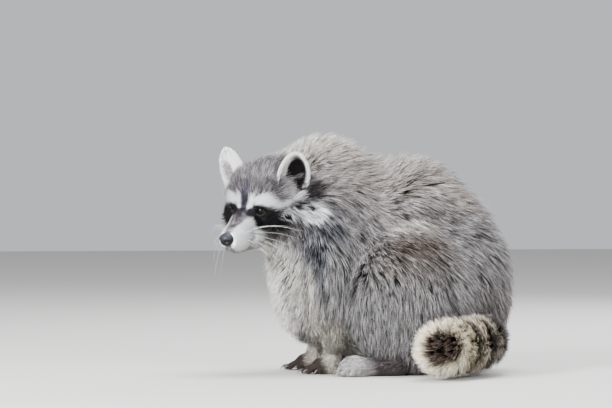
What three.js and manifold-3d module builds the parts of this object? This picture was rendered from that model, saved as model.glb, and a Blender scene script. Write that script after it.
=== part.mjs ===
// A life-size adult raccoon that sits hunched on its haunches. Its head is low and turned to its left,
// its forepaws are together in front, and its tail curls round the left haunch and lies beside it.
// Millimetres, +Z up. It faces -Y and its left side is +X. The floor is z = 0.
// Every shape is the outer form of the animal, out to the tips of its coat.

import * as THREE from "three";
import { mergeVertices } from "three/addons/utils/BufferGeometryUtils.js";
import Module from "manifold-3d";

const wasm = await Module();
wasm.setup();

// ---- Driving dimensions ----

const gap = 0.4; // the thin cut that parts two neighbours
const bodyBlend = 36; // how softly the big masses of the body run together
const limbBlend = 16; // the haunches and upper arms keep a crease round them
const headBlend = 11;
const neckBlend = 26;
const headYaw = 45; // degrees that the head is turned to its left
const headPitch = 18; // degrees that it looks down
const headRoll = 3; // degrees that its left side is lowered
const eyeRadius = 8.5;
const clawLength = 7;
const sides = { left: 1, right: -1 };

// The frame's origin lies on the floor, under the middle of the whole animal's box.
const boxMiddle = { x: 57.2, y: -49.3 };

const at = (x, y, z) => new THREE.Vector3(x, y, z);
const onSide = (side, x, y, z) => at(sides[side] * x, y, z);
const degrees = THREE.MathUtils.degToRad;

// The head has a frame of its own: l to its left, f forward and u up, from the point between the eyes.
const browPoint = at(62, -212, 210);
const headTurn = new THREE.Quaternion().setFromEuler(
  new THREE.Euler(degrees(headPitch), degrees(headRoll), degrees(headYaw), "ZYX"),
);
const inHead = (l, f, u) => at(l, -f, u).applyQuaternion(headTurn).add(browPoint);
const headward = (l, f, u) => at(l, -f, u).applyQuaternion(headTurn).normalize();

// ---- Masses: each is a distance function, negative inside ----

// An ellipsoid, by the usual bound from two scaled lengths, which is exact on its surface.
function ball(centre, radii, turn = new THREE.Quaternion()) {
  const back = turn.clone().invert();
  return (point) => {
    const p = point.clone().sub(centre).applyQuaternion(back).divide(radii);
    const k0 = p.length();
    const k1 = p.divide(radii).length();
    return k1 > 0 ? (k0 * (k0 - 1)) / k1 : -Math.min(radii.x, radii.y, radii.z);
  };
}

// A rounded cone: two balls, r1 at a and r2 at b, and the skin drawn tight between them.
function limb(a, b, r1, r2) {
  const axis = b.clone().sub(a);
  const length = axis.length();
  axis.normalize();
  const slope = (r1 - r2) / length;
  const rise = Math.sqrt(1 - slope * slope);
  return (point) => {
    const p = point.clone().sub(a);
    const along = p.dot(axis);
    const out = Math.sqrt(Math.max(p.lengthSq() - along * along, 0));
    const past = rise * along - slope * out;
    if (past < 0) return Math.hypot(out, along) - r1;
    if (past > rise * length) return Math.hypot(out, along - length) - r2;
    return rise * out + slope * along - r1;
  };
}

// Masses run together: the smaller distance, eased where two lie closer than the blend.
function together(blend, ...masses) {
  return (point) =>
    masses
      .map((mass) => mass(point))
      .reduce((a, b) => {
        const ease = Math.max(blend - Math.abs(a - b), 0) / blend;
        return Math.min(a, b) - (ease * ease * blend) / 4;
      });
}

const eachSide = (make) => Object.entries(sides).map(([side, s]) => make(s, side));

const trunkMass = together(
  bodyBlend,
  ball(at(0, 68, 112), at(108, 82, 116)), // rump
  ball(at(0, 14, 166), at(104, 92, 119)), // loin
  ball(at(2, -78, 165), at(88, 84, 116)), // chest
  ball(at(4, -96, 236), at(62, 62, 75)), // withers
  ball(at(8, -126, 122), at(58, 48, 84)), // breast
  ball(at(0, -22, 92), at(90, 100, 82)), // belly
);
const torsoMass = together(
  limbBlend,
  trunkMass,
  ...eachSide((s) => ball(at(s * 84, 2, 90), at(47, 88, 97))), // haunch
  ...eachSide((s) => ball(at(s * 60, -100, 128), at(35, 44, 82))), // upper arm
);

const neckMass = limb(at(4, -108, 212), inHead(0, -80, -8), 76, 49);

const headMass = together(
  headBlend,
  ball(inHead(0, -52, 3), at(42, 48, 44), headTurn), // skull
  limb(inHead(0, -12, -17), inHead(0, 33, -27), 25, 13), // muzzle
  limb(inHead(0, -22, -34), inHead(0, 25, -38), 25, 10), // jaw
  ball(inHead(0, -30, 11), at(45, 25, 24), headTurn), // brow
  ...eachSide((s) => ball(inHead(s * 20, -44, 25), at(21, 24, 20), headTurn)), // crown, broad between the ears
  ...eachSide((s) => ball(inHead(s * 33, -46, -25), at(27, 32, 29), headTurn)), // cheek
  ...eachSide((s) => ball(inHead(s * 27, -28, -15), at(20, 22, 20), headTurn)), // under the eye
  ...eachSide((s) => ball(inHead(s * 9, 27, -30), at(11, 14, 11), headTurn)), // upper lip
);

const bodyMass = together(bodyBlend, torsoMass, neckMass);
const headAndNape = together(neckBlend, neckMass, headMass);

// ---- Surfaces ----

// How far a ray runs from a point inside a mass before it comes out, level mm past its surface.
function reach(mass, level) {
  const stride = 4;
  const halvings = 9;
  return (from, direction) => {
    const outside = (far) => mass(from.clone().addScaledVector(direction, far)) > level;
    let low = 0;
    while (!outside(low + stride)) low += stride;
    let high = low + stride;
    for (let i = 0; i < halvings; i++) {
      const middle = (low + high) / 2;
      if (outside(middle)) high = middle;
      else low = middle;
    }
    return (low + high) / 2;
  };
}

// A closed surface round a line: a capsule's vertices, each set off from the line along its own ray,
// as far as the function says. across is a direction that the line never takes.
function sleeve(line, farOf, detail, across = at(1, 0, 0)) {
  const capsule = new THREE.CapsuleGeometry(1, 1, detail.cap, detail.around, detail.along);
  capsule.deleteAttribute("normal");
  capsule.deleteAttribute("uv");
  const geometry = mergeVertices(capsule);
  const position = geometry.getAttribute("position");
  for (let i = 0; i < position.count; i++) {
    const p = at(0, 0, 0).fromBufferAttribute(position, i);
    const t = THREE.MathUtils.clamp(p.y + 0.5, 0, 1);
    const tangent = line.getTangentAt(t);
    const first = across.clone().addScaledVector(tangent, -across.dot(tangent)).normalize();
    const second = first.clone().cross(tangent);
    const direction = first.multiplyScalar(p.x).addScaledVector(second, p.z);
    direction.addScaledVector(tangent, p.y + 0.5 - t).normalize();
    const centre = line.getPointAt(t);
    centre.addScaledVector(direction, farOf(centre, direction, t));
    position.setXYZ(i, centre.x, centre.y, centre.z);
  }
  return geometry;
}

const curve = (...points) => new THREE.CatmullRomCurve3(points);

// ---- Solids ----

const ballDetail = { around: 12, rows: 8 };

function solidOf(geometry) {
  const bare = geometry.clone();
  bare.deleteAttribute("normal");
  bare.deleteAttribute("uv");
  const merged = mergeVertices(bare);
  return new wasm.Manifold(
    new wasm.Mesh({
      numProp: 3,
      vertProperties: new Float32Array(merged.getAttribute("position").array),
      triVerts: new Uint32Array(merged.index.array),
    }),
  );
}

function geometryOf(solid) {
  const mesh = solid.getMesh();
  const geometry = new THREE.BufferGeometry();
  geometry.setAttribute("position", new THREE.BufferAttribute(mesh.vertProperties, 3));
  geometry.setIndex(new THREE.BufferAttribute(mesh.triVerts, 1));
  geometry.computeVertexNormals();
  return geometry;
}

// An ellipsoid solid, grown by a margin so that it can cut room for itself.
function ballSolid(centre, radii, { grow = 0, turn = new THREE.Quaternion() } = {}) {
  const geometry = new THREE.SphereGeometry(1, ballDetail.around, ballDetail.rows);
  geometry.scale(radii.x + grow, radii.y + grow, radii.z + grow);
  geometry.applyQuaternion(turn);
  geometry.translate(centre.x, centre.y, centre.z);
  return solidOf(geometry);
}

// Keeps what lies on the side of a plane that the normal points to, less half the gap.
const trim = (solid, point, normal) =>
  solid.trimByPlane(normal.toArray(), normal.dot(point) + gap / 2);

const above = (solid, height) => solid.trimByPlane([0, 0, 1], height);

// Two solids out of one, by an inner shape: the part inside it, and the rest a gap away.
function carve(solid, shape) {
  return { inside: solid.intersect(shape(0)), rest: solid.subtract(shape(gap)) };
}

// ---- Colours, as the dominant tone of each part's coat ----

const coats = {
  back: new THREE.MeshStandardMaterial({ color: 0x8b837c, roughness: 0.9, metalness: 0 }),
  pale: new THREE.MeshStandardMaterial({ color: 0xb9b0a4, roughness: 0.9, metalness: 0 }),
  tail: new THREE.MeshStandardMaterial({ color: 0xa08d70, roughness: 0.9, metalness: 0 }),
  ear: new THREE.MeshStandardMaterial({ color: 0xd9d6cf, roughness: 0.85, metalness: 0 }),
  foot: new THREE.MeshStandardMaterial({ color: 0x8f8880, roughness: 0.8, metalness: 0 }),
  nose: new THREE.MeshStandardMaterial({ color: 0x1d1c20, roughness: 0.45, metalness: 0 }),
  eye: new THREE.MeshStandardMaterial({ color: 0x120c0a, roughness: 0.08, metalness: 0 }),
  claw: new THREE.MeshStandardMaterial({ color: 0x2b2624, roughness: 0.4, metalness: 0 }),
};

const raccoon = new THREE.Group();

function add(name, solid, material) {
  const mesh = new THREE.Mesh(geometryOf(solid), material);
  mesh.name = name;
  raccoon.add(mesh);
}

// The largest body that a cut leaves, where it also leaves slivers.
const largest = (solid) => solid.decompose().sort((a, b) => b.volume() - a.volume())[0];

// ---- Head: its back is a plane through the nape ----

const nape = { point: inHead(0, -82, 0), normal: headward(0, 0.96, 0.28) };
const headLine = curve(inHead(0, -62, 0), inHead(0, -30, -8), inHead(0, 8, -20), inHead(0, 30, -29));
const headDetail = { around: 24, along: 10, cap: 4 };
const headAt = (level) =>
  solidOf(sleeve(headLine, reach(headAndNape, level), headDetail, headward(1, 0, 0)));
const headWhole = trim(headAt(0), nape.point, nape.normal);
const headRoom = headAt(gap).trimByPlane(nape.normal.toArray(), nape.normal.dot(nape.point) - gap / 2);

const nose = { centre: inHead(0, 42.5, -24), radii: at(10.5, 9.5, 9.5) };
const noseSolid = (grow) => ballSolid(nose.centre, nose.radii, { grow, turn: headTurn });
add("nose", noseSolid(0), coats.nose);
let head = headWhole.subtract(noseSolid(gap));

// Each eye lies in the head behind the opening of its lids.
const opening = { forward: 9.5, radius: 6.5 };
for (const [side, s] of Object.entries(sides)) {
  const radii = at(eyeRadius, eyeRadius, eyeRadius);
  const centre = inHead(s * 19.5, -12, -3.2);
  const eye = (grow) => ballSolid(centre, radii, { grow });
  add(`eye_${side}`, eye(0), coats.eye);
  const lids = centre.clone().addScaledVector(headward(s * 0.36, 0.93, 0), opening.forward);
  const lidRadii = at(opening.radius, opening.radius, opening.radius);
  head = head.subtract(eye(gap)).subtract(ballSolid(lids, lidRadii));
}

// The lower jaw is what lies under the line of the mouth, ahead of its corner.
const mouth = { corner: 2, height: -39, depth: 60, length: 70, width: 90 };
function jawShape(grow) {
  const box = new THREE.BoxGeometry(mouth.width, mouth.length + 2 * grow, mouth.depth);
  box.translate(0, -mouth.corner - mouth.length / 2, mouth.height - mouth.depth / 2 + grow);
  box.applyQuaternion(headTurn);
  box.translate(browPoint.x, browPoint.y, browPoint.z);
  return solidOf(box);
}
const muzzle = carve(head, jawShape);
add("head", muzzle.rest, coats.pale);
add("jaw", muzzle.inside, coats.pale);

// ---- Torso: trunk, neck, haunches and upper arms, all parted from one surface ----

const torsoLine = new THREE.LineCurve3(at(0, 52, 122), at(4, -92, 186));
const torsoDetail = { around: 24, along: 6, cap: 6 };
const torsoAt = (level) => solidOf(sleeve(torsoLine, reach(bodyMass, level), torsoDetail));
const torsoRoom = torsoAt(gap);

const collar = { point: at(8, -118, 214), normal: at(0.3, -0.88, 0.1).normalize() };
const backOf = (plane) => plane.normal.clone().negate();

let trunk = largest(above(torsoAt(0), 0).subtract(headRoom));
add("neck", largest(trim(trunk, collar.point, collar.normal)), coats.back);
trunk = trim(trunk, collar.point, backOf(collar));

const haunch = { centre: [94, 2, 88], radii: at(56, 94, 102) };
const upperArm = { centre: [76, -104, 118], radii: at(42, 50, 92) };
for (const [name, part] of Object.entries({ haunch, upper_arm: upperArm })) {
  for (const side of Object.keys(sides)) {
    const shape = (grow) => ballSolid(onSide(side, ...part.centre), part.radii, { grow });
    const { inside, rest } = carve(trunk, shape);
    trunk = rest;
    add(`${name}_${side}`, largest(inside), coats.back);
  }
}
add("trunk", largest(trunk), coats.back);

// ---- Ears: a cup, its outer ellipsoid hollowed by a smaller one set forward ----

const ear = { centre: [49, -49, 33], outer: at(21.5, 13, 32), hollow: at(17.5, 12, 27), forward: 7 };
const earFacing = { left: [0.7, 0.71], right: [-0.2, 0.98] }; // the left one is turned outward, as when it listens
for (const [side, s] of Object.entries(sides)) {
  const up = headward(s * 0.22, -0.1, 0.97);
  const front = headward(...earFacing[side], 0).projectOnPlane(up).normalize();
  const turn = new THREE.Quaternion().setFromRotationMatrix(
    new THREE.Matrix4().makeBasis(up.clone().cross(front), front.clone().negate(), up),
  );
  const centre = inHead(s * ear.centre[0], ear.centre[1], ear.centre[2]);
  const outer = ballSolid(centre, ear.outer, { turn });
  const hollow = ballSolid(centre.clone().addScaledVector(front, ear.forward), ear.hollow, { turn });
  add(`ear_${side}`, largest(outer.subtract(hollow).subtract(headRoom).subtract(torsoRoom)), coats.ear);
}

// ---- Feet: a sole, an instep and five toes, each with its claw ----

const clawDetail = { around: 5, along: 2, cap: 1 };
const toeDetail = { around: 6, along: 2, cap: 1 };
const footDetail = { around: 10, along: 3, cap: 2 };

// A tube along a line, its radius running evenly from one end's to the other's.
const tube = (line, r1, r2, detail, grow = 0) =>
  solidOf(sleeve(line, (c, d, t) => r1 + (r2 - r1) * t + grow, detail, at(0, 0, 1)));

// heading turns the foot's forward from -Y. The foot's own frame has s across, f forward and z up.
function foot(name, spot, heading, spec, leg) {
  const turn = new THREE.Quaternion().setFromAxisAngle(at(0, 0, 1), heading);
  const place = (s, f, z) => at(s, -f, z).applyQuaternion(turn).add(spot);
  const { sole, toes } = spec;
  const mass = together(
    10,
    limb(place(0, 0, sole.height), place(0, sole.length, sole.height - 2), sole.heel, sole.ball),
    limb(place(0, sole.length - 4, 9), place(0, sole.length, 9), sole.width, sole.width),
    limb(leg.from, leg.to, leg.r1, leg.r2),
  );
  const line = new THREE.LineCurve3(place(0, 0, sole.height), place(0, sole.length, 9));
  let paw = solidOf(sleeve(line, reach(mass, 0), footDetail, at(0, 0, 1)));
  const claws = [];
  for (let i = 0; i < toes.count; i++) {
    const share = (2 * i) / (toes.count - 1) - 1;
    const angle = share * toes.splay;
    const length = toes.length * (1 - toes.taper * share * share);
    const root = { s: share * toes.spacing * 2, f: sole.length + 4 - 9 * share * share };
    const along = (far, z) => place(root.s + far * Math.sin(angle), root.f + far * Math.cos(angle), z);
    const tip = along(length, toes.radius - 0.6);
    const toe = curve(along(0, 9), along(length * 0.5, toes.radius + 5), tip);
    paw = paw.add(tube(toe, toes.radius + 0.8, toes.radius, toeDetail));
    const claw = curve(
      along(length + 1, toes.radius + 1.6),
      along(length + 1 + clawLength * 0.5, toes.radius + 1.4),
      along(length + 1 + clawLength, 1.2),
    );
    const clawSolid = (grow) => tube(claw, 2, 0.7, clawDetail, grow);
    paw = paw.subtract(clawSolid(gap));
    claws.push(clawSolid(0));
  }
  claws.forEach((claw, i) => add(`claw_${name}_${i + 1}`, above(claw, 0.3), coats.claw));
  return above(paw, 0);
}

const foreFoot = {
  sole: { length: 14, height: 10, heel: 11, ball: 10, width: 11 },
  toes: { count: 5, length: 19, radius: 3.8, spacing: 5.6, splay: 0.5, taper: 0.25 },
};
const hindFoot = {
  sole: { length: 66, height: 12, heel: 13, ball: 13, width: 15 },
  toes: { count: 5, length: 13, radius: 6, spacing: 6.4, splay: 0.25, taper: 0.3 },
};

for (const [side, s] of Object.entries(sides)) {
  const wrist = at(s * 43, -99 + s * 4, 26);
  const elbow = at(s * 56, -86, 92);
  const forearmMass = limb(elbow, wrist, 30, 12);
  const line = curve(elbow, elbow.clone().lerp(wrist, 0.5), wrist);
  const forearm = solidOf(sleeve(line, reach(forearmMass, 0), { around: 14, along: 5, cap: 3 }));
  const cut = { point: wrist.clone().add(at(0, 0, -2)), normal: at(0, 0, 1) };
  add(`forearm_${side}`, largest(trim(forearm, cut.point, cut.normal).subtract(torsoRoom)), coats.pale);

  const palm = wrist.clone().setZ(0).add(at(0, -2, 0));
  const leg = { from: wrist, to: palm.clone().setZ(12), r1: 12, r2: 11 };
  const forePaw = foot(`forepaw_${side}`, palm, s * 0.12, foreFoot, leg);
  add(`forepaw_${side}`, largest(trim(forePaw, cut.point, backOf(cut)).subtract(torsoRoom)), coats.foot);

  const heel = at(s * 96, -14, 0);
  const ankle = {
    from: heel.clone().add(at(0, 6, 34)),
    to: heel.clone().add(at(0, -8, 16)),
    r1: 20,
    r2: 15,
  };
  const hindPaw = foot(`hindfoot_${side}`, heel, s * 0.1, hindFoot, ankle);
  add(`hindfoot_${side}`, largest(hindPaw.subtract(torsoRoom)), coats.foot);
}

// ---- Tail: one bushy brush, parted square to its line ----

const tailLine = curve(
  at(-10, 84, 62),
  at(48, 98, 48),
  at(100, 86, 42),
  at(142, 58, 40),
  at(174, 32, 40),
  at(204, 17, 40),
);
const tailParts = 5;
const tailRadius = (t) => 26 + 15 * Math.sin((Math.PI / 2) * Math.min(0.1 + 1.4 * t, 1));
const tailDetail = { around: 14, along: 8, cap: 3 };
const brush = above(solidOf(sleeve(tailLine, (c, d, t) => tailRadius(t), tailDetail, at(0, 0, 1))), 0);
let tail = largest(brush.subtract(torsoRoom));
for (let i = tailParts - 1; i > 0; i--) {
  const t = 0.3 + (0.7 * i) / tailParts;
  const cut = { point: tailLine.getPointAt(t), normal: tailLine.getTangentAt(t) };
  add(`tail_${i + 1}`, largest(trim(tail, cut.point, cut.normal)), coats.tail);
  tail = trim(tail, cut.point, backOf(cut));
}
add("tail_1", largest(tail), coats.tail);

raccoon.position.set(-boxMiddle.x, -boxMiddle.y, 0);

export default raccoon;
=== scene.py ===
import bmesh
import bpy
import mathutils
import numpy as np
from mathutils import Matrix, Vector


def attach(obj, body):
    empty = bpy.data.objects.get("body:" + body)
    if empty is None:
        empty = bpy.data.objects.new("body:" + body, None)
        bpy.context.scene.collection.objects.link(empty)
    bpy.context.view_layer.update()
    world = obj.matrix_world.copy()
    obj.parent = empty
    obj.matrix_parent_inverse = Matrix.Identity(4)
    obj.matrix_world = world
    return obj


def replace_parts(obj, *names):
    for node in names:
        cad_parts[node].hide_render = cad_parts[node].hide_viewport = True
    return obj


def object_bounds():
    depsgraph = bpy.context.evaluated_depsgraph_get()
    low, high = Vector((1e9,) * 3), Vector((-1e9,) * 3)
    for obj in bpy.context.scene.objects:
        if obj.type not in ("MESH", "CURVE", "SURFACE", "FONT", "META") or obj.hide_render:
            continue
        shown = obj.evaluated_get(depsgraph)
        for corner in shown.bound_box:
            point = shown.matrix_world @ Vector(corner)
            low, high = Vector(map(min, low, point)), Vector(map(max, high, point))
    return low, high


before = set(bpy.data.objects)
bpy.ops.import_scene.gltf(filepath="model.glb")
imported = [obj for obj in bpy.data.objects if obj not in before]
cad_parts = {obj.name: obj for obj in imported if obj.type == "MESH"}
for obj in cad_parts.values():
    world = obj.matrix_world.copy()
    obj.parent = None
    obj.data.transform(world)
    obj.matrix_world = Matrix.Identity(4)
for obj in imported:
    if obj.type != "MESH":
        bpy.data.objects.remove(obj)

# A life-size raccoon sitting hunched, head low and turned to its left.
# Shapes are worked out in millimetres: it faces -Y, its left is +X, the floor is z = 0.
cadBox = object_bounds()
middle = np.array([57.2, -49.3, 0.0])  # the scene's origin lies here, under the middle of the whole animal
boxLow, boxHigh = np.array(cadBox) * 1000 + middle
rng = np.random.default_rng(11)


def vec(x, y, z):
    return np.array([x, y, z], dtype=float)


def unit(v):
    return v / np.maximum(np.linalg.norm(v, axis=-1, keepdims=True), 1e-9)


def ease(x):
    x = np.clip(x, 0, 1)
    return x * x * (3 - 2 * x)


def mix(a, b, share):
    return a + (b - a) * share


def toLinear(hexText):
    rgb = np.array([int(hexText[i:i + 2], 16) for i in (1, 3, 5)]) / 255
    return np.where(rgb <= 0.04045, rgb / 12.92, ((rgb + 0.055) / 1.055) ** 2.4)


def evenTone(hexText, n):
    return np.tile(toLinear(hexText), (n, 1))


def dyed(colour, hexText, share):
    return mix(colour, toLinear(hexText), share[:, None])


def laidOver(tones, colours, share):
    return [dyed(tone, colour, share) for tone, colour in zip(tones, colours)]


def bothSides(v):
    return v, v * vec(-1, 1, 1)


def across(normal, d):
    # the part of d that runs along the surface
    return d - normal * (normal * d).sum(-1, keepdims=True)


def turned(normal, lie, angle):
    # the lie along the surface, turned about its normal
    d = unit(across(normal, lie))
    return d * np.cos(angle)[:, None] + np.cross(normal, d) * np.sin(angle)[:, None]


def ripple(p, size, seed):
    # smooth noise from -1 to 1: a sum of three turned sine waves of about the given size in mm
    total = np.zeros(len(p))
    for i in range(3):
        a = seed * 2.1 + i * 2.4
        way = vec(np.cos(a) * np.sin(a * 1.7), np.sin(a) * np.sin(a * 1.7), np.cos(a * 1.7))
        total = total + np.sin(p @ way * 6.283 / (size * (1 + 0.23 * i)) + seed * 3 + i)
    return total / 3


# the head's own frame: l to its left, f forward, u up from between the eyes; angles in degrees
head = {"brow": vec(62, -212, 210), "yaw": 45, "pitch": 18, "roll": 3, "blend": 11, "neckBlend": 26}


def turnOf(pitch, roll, yaw):
    a, b, c = np.radians([pitch, roll, yaw])
    aboutX = np.array([[1, 0, 0], [0, np.cos(a), -np.sin(a)], [0, np.sin(a), np.cos(a)]])
    aboutY = np.array([[np.cos(b), 0, np.sin(b)], [0, 1, 0], [-np.sin(b), 0, np.cos(b)]])
    aboutZ = np.array([[np.cos(c), -np.sin(c), 0], [np.sin(c), np.cos(c), 0], [0, 0, 1]])
    return aboutZ @ aboutY @ aboutX


headTurn = turnOf(head["pitch"], head["roll"], head["yaw"])


def inHead(l, f, u):
    return headTurn @ vec(l, -f, u) + head["brow"]


def headward(l, f, u):
    return unit(headTurn @ vec(l, -f, u))


def headwardOn(s, way):
    # the same for one side of the head: 1 is its left, -1 its right
    l, f, u = way
    return headward(s * l, f, u)


def headPlace(p):
    q = (p - head["brow"]) @ headTurn
    return np.stack([q[:, 0], -q[:, 1], q[:, 2]], 1)


def ball(p, centre, radii, turn=None):
    # masses are distances in mm, negative inside; an ellipsoid's is a bound from two scaled lengths
    q = p - centre
    if turn is not None:
        q = q @ turn
    q = q / radii
    far = np.linalg.norm(q, axis=1)
    return far * (far - 1) / np.maximum(np.linalg.norm(q / radii, axis=1), 1e-9)


def limb(p, a, b, r1, r2):
    # a rounded cone between two balls
    axis = b - a
    length = np.linalg.norm(axis)
    axis = axis / length
    slope = (r1 - r2) / length
    rise = np.sqrt(1 - slope * slope)
    q = p - a
    along = q @ axis
    out = np.sqrt(np.maximum((q * q).sum(1) - along * along, 0))
    past = rise * along - slope * out
    side = rise * out + slope * along - r1
    side = np.where(past < 0, np.hypot(out, along) - r1, side)
    return np.where(past > rise * length, np.hypot(out, along - length) - r2, side)


def together(blend, masses):
    # the smaller distance, eased where two are nearer than the blend
    total = masses[0]
    for other in masses[1:]:
        share = np.maximum(blend - np.abs(total - other), 0) / blend
        total = np.minimum(total, other) - share * share * blend / 4
    return total


body = {
    "blend": 36,
    "rump": (vec(0, 68, 112), vec(108, 82, 116)),
    "loin": (vec(0, 14, 166), vec(104, 92, 119)),
    "chest": (vec(2, -78, 165), vec(88, 84, 116)),
    "withers": (vec(4, -96, 236), vec(62, 62, 75)),
    "breast": (vec(8, -126, 122), vec(58, 48, 84)),
    "belly": (vec(0, -22, 92), vec(90, 100, 82)),
    "limbBlend": 16,
    "haunch": (vec(84, 2, 90), vec(47, 88, 97)),
    "upperArm": (vec(60, -100, 128), vec(35, 44, 82)),
    "neck": (vec(4, -108, 212), vec(0, -80, -8), 76, 49),  # it ends at a place in the head's frame
    "headBlend": 16,
    "foreArm": (vec(56, -86, 92), 30, 12),
    "armBlend": 12,
}
wristAt = {1: vec(43, -95, 26), -1: vec(-43, -103, 26)}

# in the head's frame a ball is (place, radii), mirrored if it stands off the middle, and a limb is
# (start, end, radius, radius)
headMasses = {
    "cranium": (vec(0, -52, 3), vec(42, 48, 44)),
    "muzzle": (vec(0, -12, -17), vec(0, 33, -27), 25, 13),
    "jaw": (vec(0, -22, -34), vec(0, 25, -38), 25, 10),
    "forehead": (vec(0, -30, 11), vec(45, 25, 24)),
    "crown": (vec(20, -44, 25), vec(21, 24, 20)),
    "ruff": (vec(33, -46, -25), vec(27, 32, 29)),
    "cheek": (vec(27, -28, -15), vec(20, 22, 20)),
    "lip": (vec(9, 27, -30), vec(11, 14, 11)),
}
eyes = {"l": 19.5, "f": -12, "u": -3.2, "radius": 8.5, "lid": 1.2, "lidBlend": 7, "wide": 7.5,
        "upper": 5.2, "lower": 4.0, "furFree": 6.7, "opens": (0.36, 0.93, 0), "corner": (0.95, -0.3, 0.12)}


def eyeCentre(s, ahead=0):
    return inHead(s * eyes["l"], eyes["f"] + ahead, eyes["u"])


def neckField(p):
    start, end, r1, r2 = body["neck"]
    return limb(p, start, inHead(*end), r1, r2)


def bodyField(p, neck):
    trunk = [ball(p, *body[k]) for k in ("rump", "loin", "chest", "withers", "breast", "belly")]
    masses = [together(body["blend"], trunk)]
    for name in ("haunch", "upperArm"):
        centre, radii = body[name]
        masses += [ball(p, c, radii) for c in bothSides(centre)]
    return together(body["blend"], [together(body["limbBlend"], masses), neck])


def headField(p, neck):
    masses = []
    for start, other, *radii in headMasses.values():
        if radii:
            masses.append(limb(p, inHead(*start), inHead(*other), *radii))
        else:
            centres = bothSides(start) if start[0] else [start]
            masses += [ball(p, inHead(*c), other, headTurn) for c in centres]
    return together(head["neckBlend"], [neck, together(head["blend"], masses)])


def coatTips(p):
    # the animal's outer form, out to the tips of its coat
    neck = neckField(p)
    elbow, r1, r2 = body["foreArm"]
    arms = [limb(p, e, wristAt[s], r1, r2) for e, s in zip(bothSides(elbow), (1, -1))]
    whole = together(body["headBlend"], [bodyField(p, neck), headField(p, neck)])
    return together(body["armBlend"], [whole] + arms)


# combs give the lie, depth and lift of the coat round a place, and are mirrored in x or l
combing = {"sharpness": 5.0, "bodyLift": 1.45}  # each lift in the body's table is multiplied by bodyLift

# name: (place in the body, reach, lie, depth in mm, lift in degrees)
bodyCombs = {
    "nape": (vec(12, -140, 268), 34, vec(0, 0.95, 0.45), 20, 24),
    "withers": (vec(12, -86, 306), 44, vec(0.05, 1, 0.05), 27, 27),
    "saddle": (vec(20, -30, 282), 40, vec(0.06, 1, -0.05), 26, 24),
    "back": (vec(20, 30, 280), 46, vec(0.08, 1, -0.25), 27, 26),
    "rumpTop": (vec(20, 92, 226), 46, vec(0.1, 0.7, -0.75), 28, 26),
    "rumpEnd": (vec(20, 146, 110), 46, vec(0.05, 0.15, -1), 28, 24),
    "neckSide": (vec(72, -120, 250), 32, vec(0.1, 0.95, -0.2), 21, 22),
    "shoulder": (vec(86, -90, 200), 34, vec(0.1, 0.55, -0.8), 24, 22),
    "side": (vec(98, -20, 214), 40, vec(0.1, 0.85, -0.55), 26, 22),
    "loinSide": (vec(102, 60, 206), 40, vec(0.1, 0.8, -0.65), 27, 23),
    "rumpSide": (vec(92, 112, 130), 40, vec(0.1, 0.3, -0.95), 27, 22),
    "throatSide": (vec(80, -140, 180), 30, vec(0.15, 0.1, -1), 24, 24),
    "armSide": (vec(88, -112, 120), 34, vec(0.05, 0.05, -1), 24, 20),
    "chest": (vec(18, -172, 150), 34, vec(0.1, -0.1, -1), 24, 30),
    "breast": (vec(24, -160, 80), 32, vec(0.1, -0.2, -1), 22, 32),
    "flank": (vec(98, -72, 120), 30, vec(0, 0.12, -1), 22, 18),
    "haunchTop": (vec(112, 0, 178), 34, vec(0.25, 0.7, -0.7), 22, 20),
    "haunchCorner": (vec(104, -50, 150), 26, vec(0.15, 0.6, -0.8), 14, 20),
    "haunchFront": (vec(118, -62, 100), 30, vec(0.05, 0.1, -1), 19, 18),
    "haunchMid": (vec(128, 4, 100), 40, vec(0.05, 0.05, -1), 23, 19),
    "haunchRear": (vec(122, 66, 96), 38, vec(0.05, 0.45, -0.9), 24, 20),
    "haunchLow": (vec(112, -20, 30), 34, vec(0.1, -0.12, -1), 15, 16),
    "belly": (vec(24, -20, 12), 46, vec(0, 0.9, -0.1), 12, 16),
    "armpit": (vec(40, -110, 52), 20, vec(0.1, -0.1, -1), 10, 14),
    "forearm": (vec(46, -100, 34), 16, vec(0, -0.1, -1), 3.4, 12),
}
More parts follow.
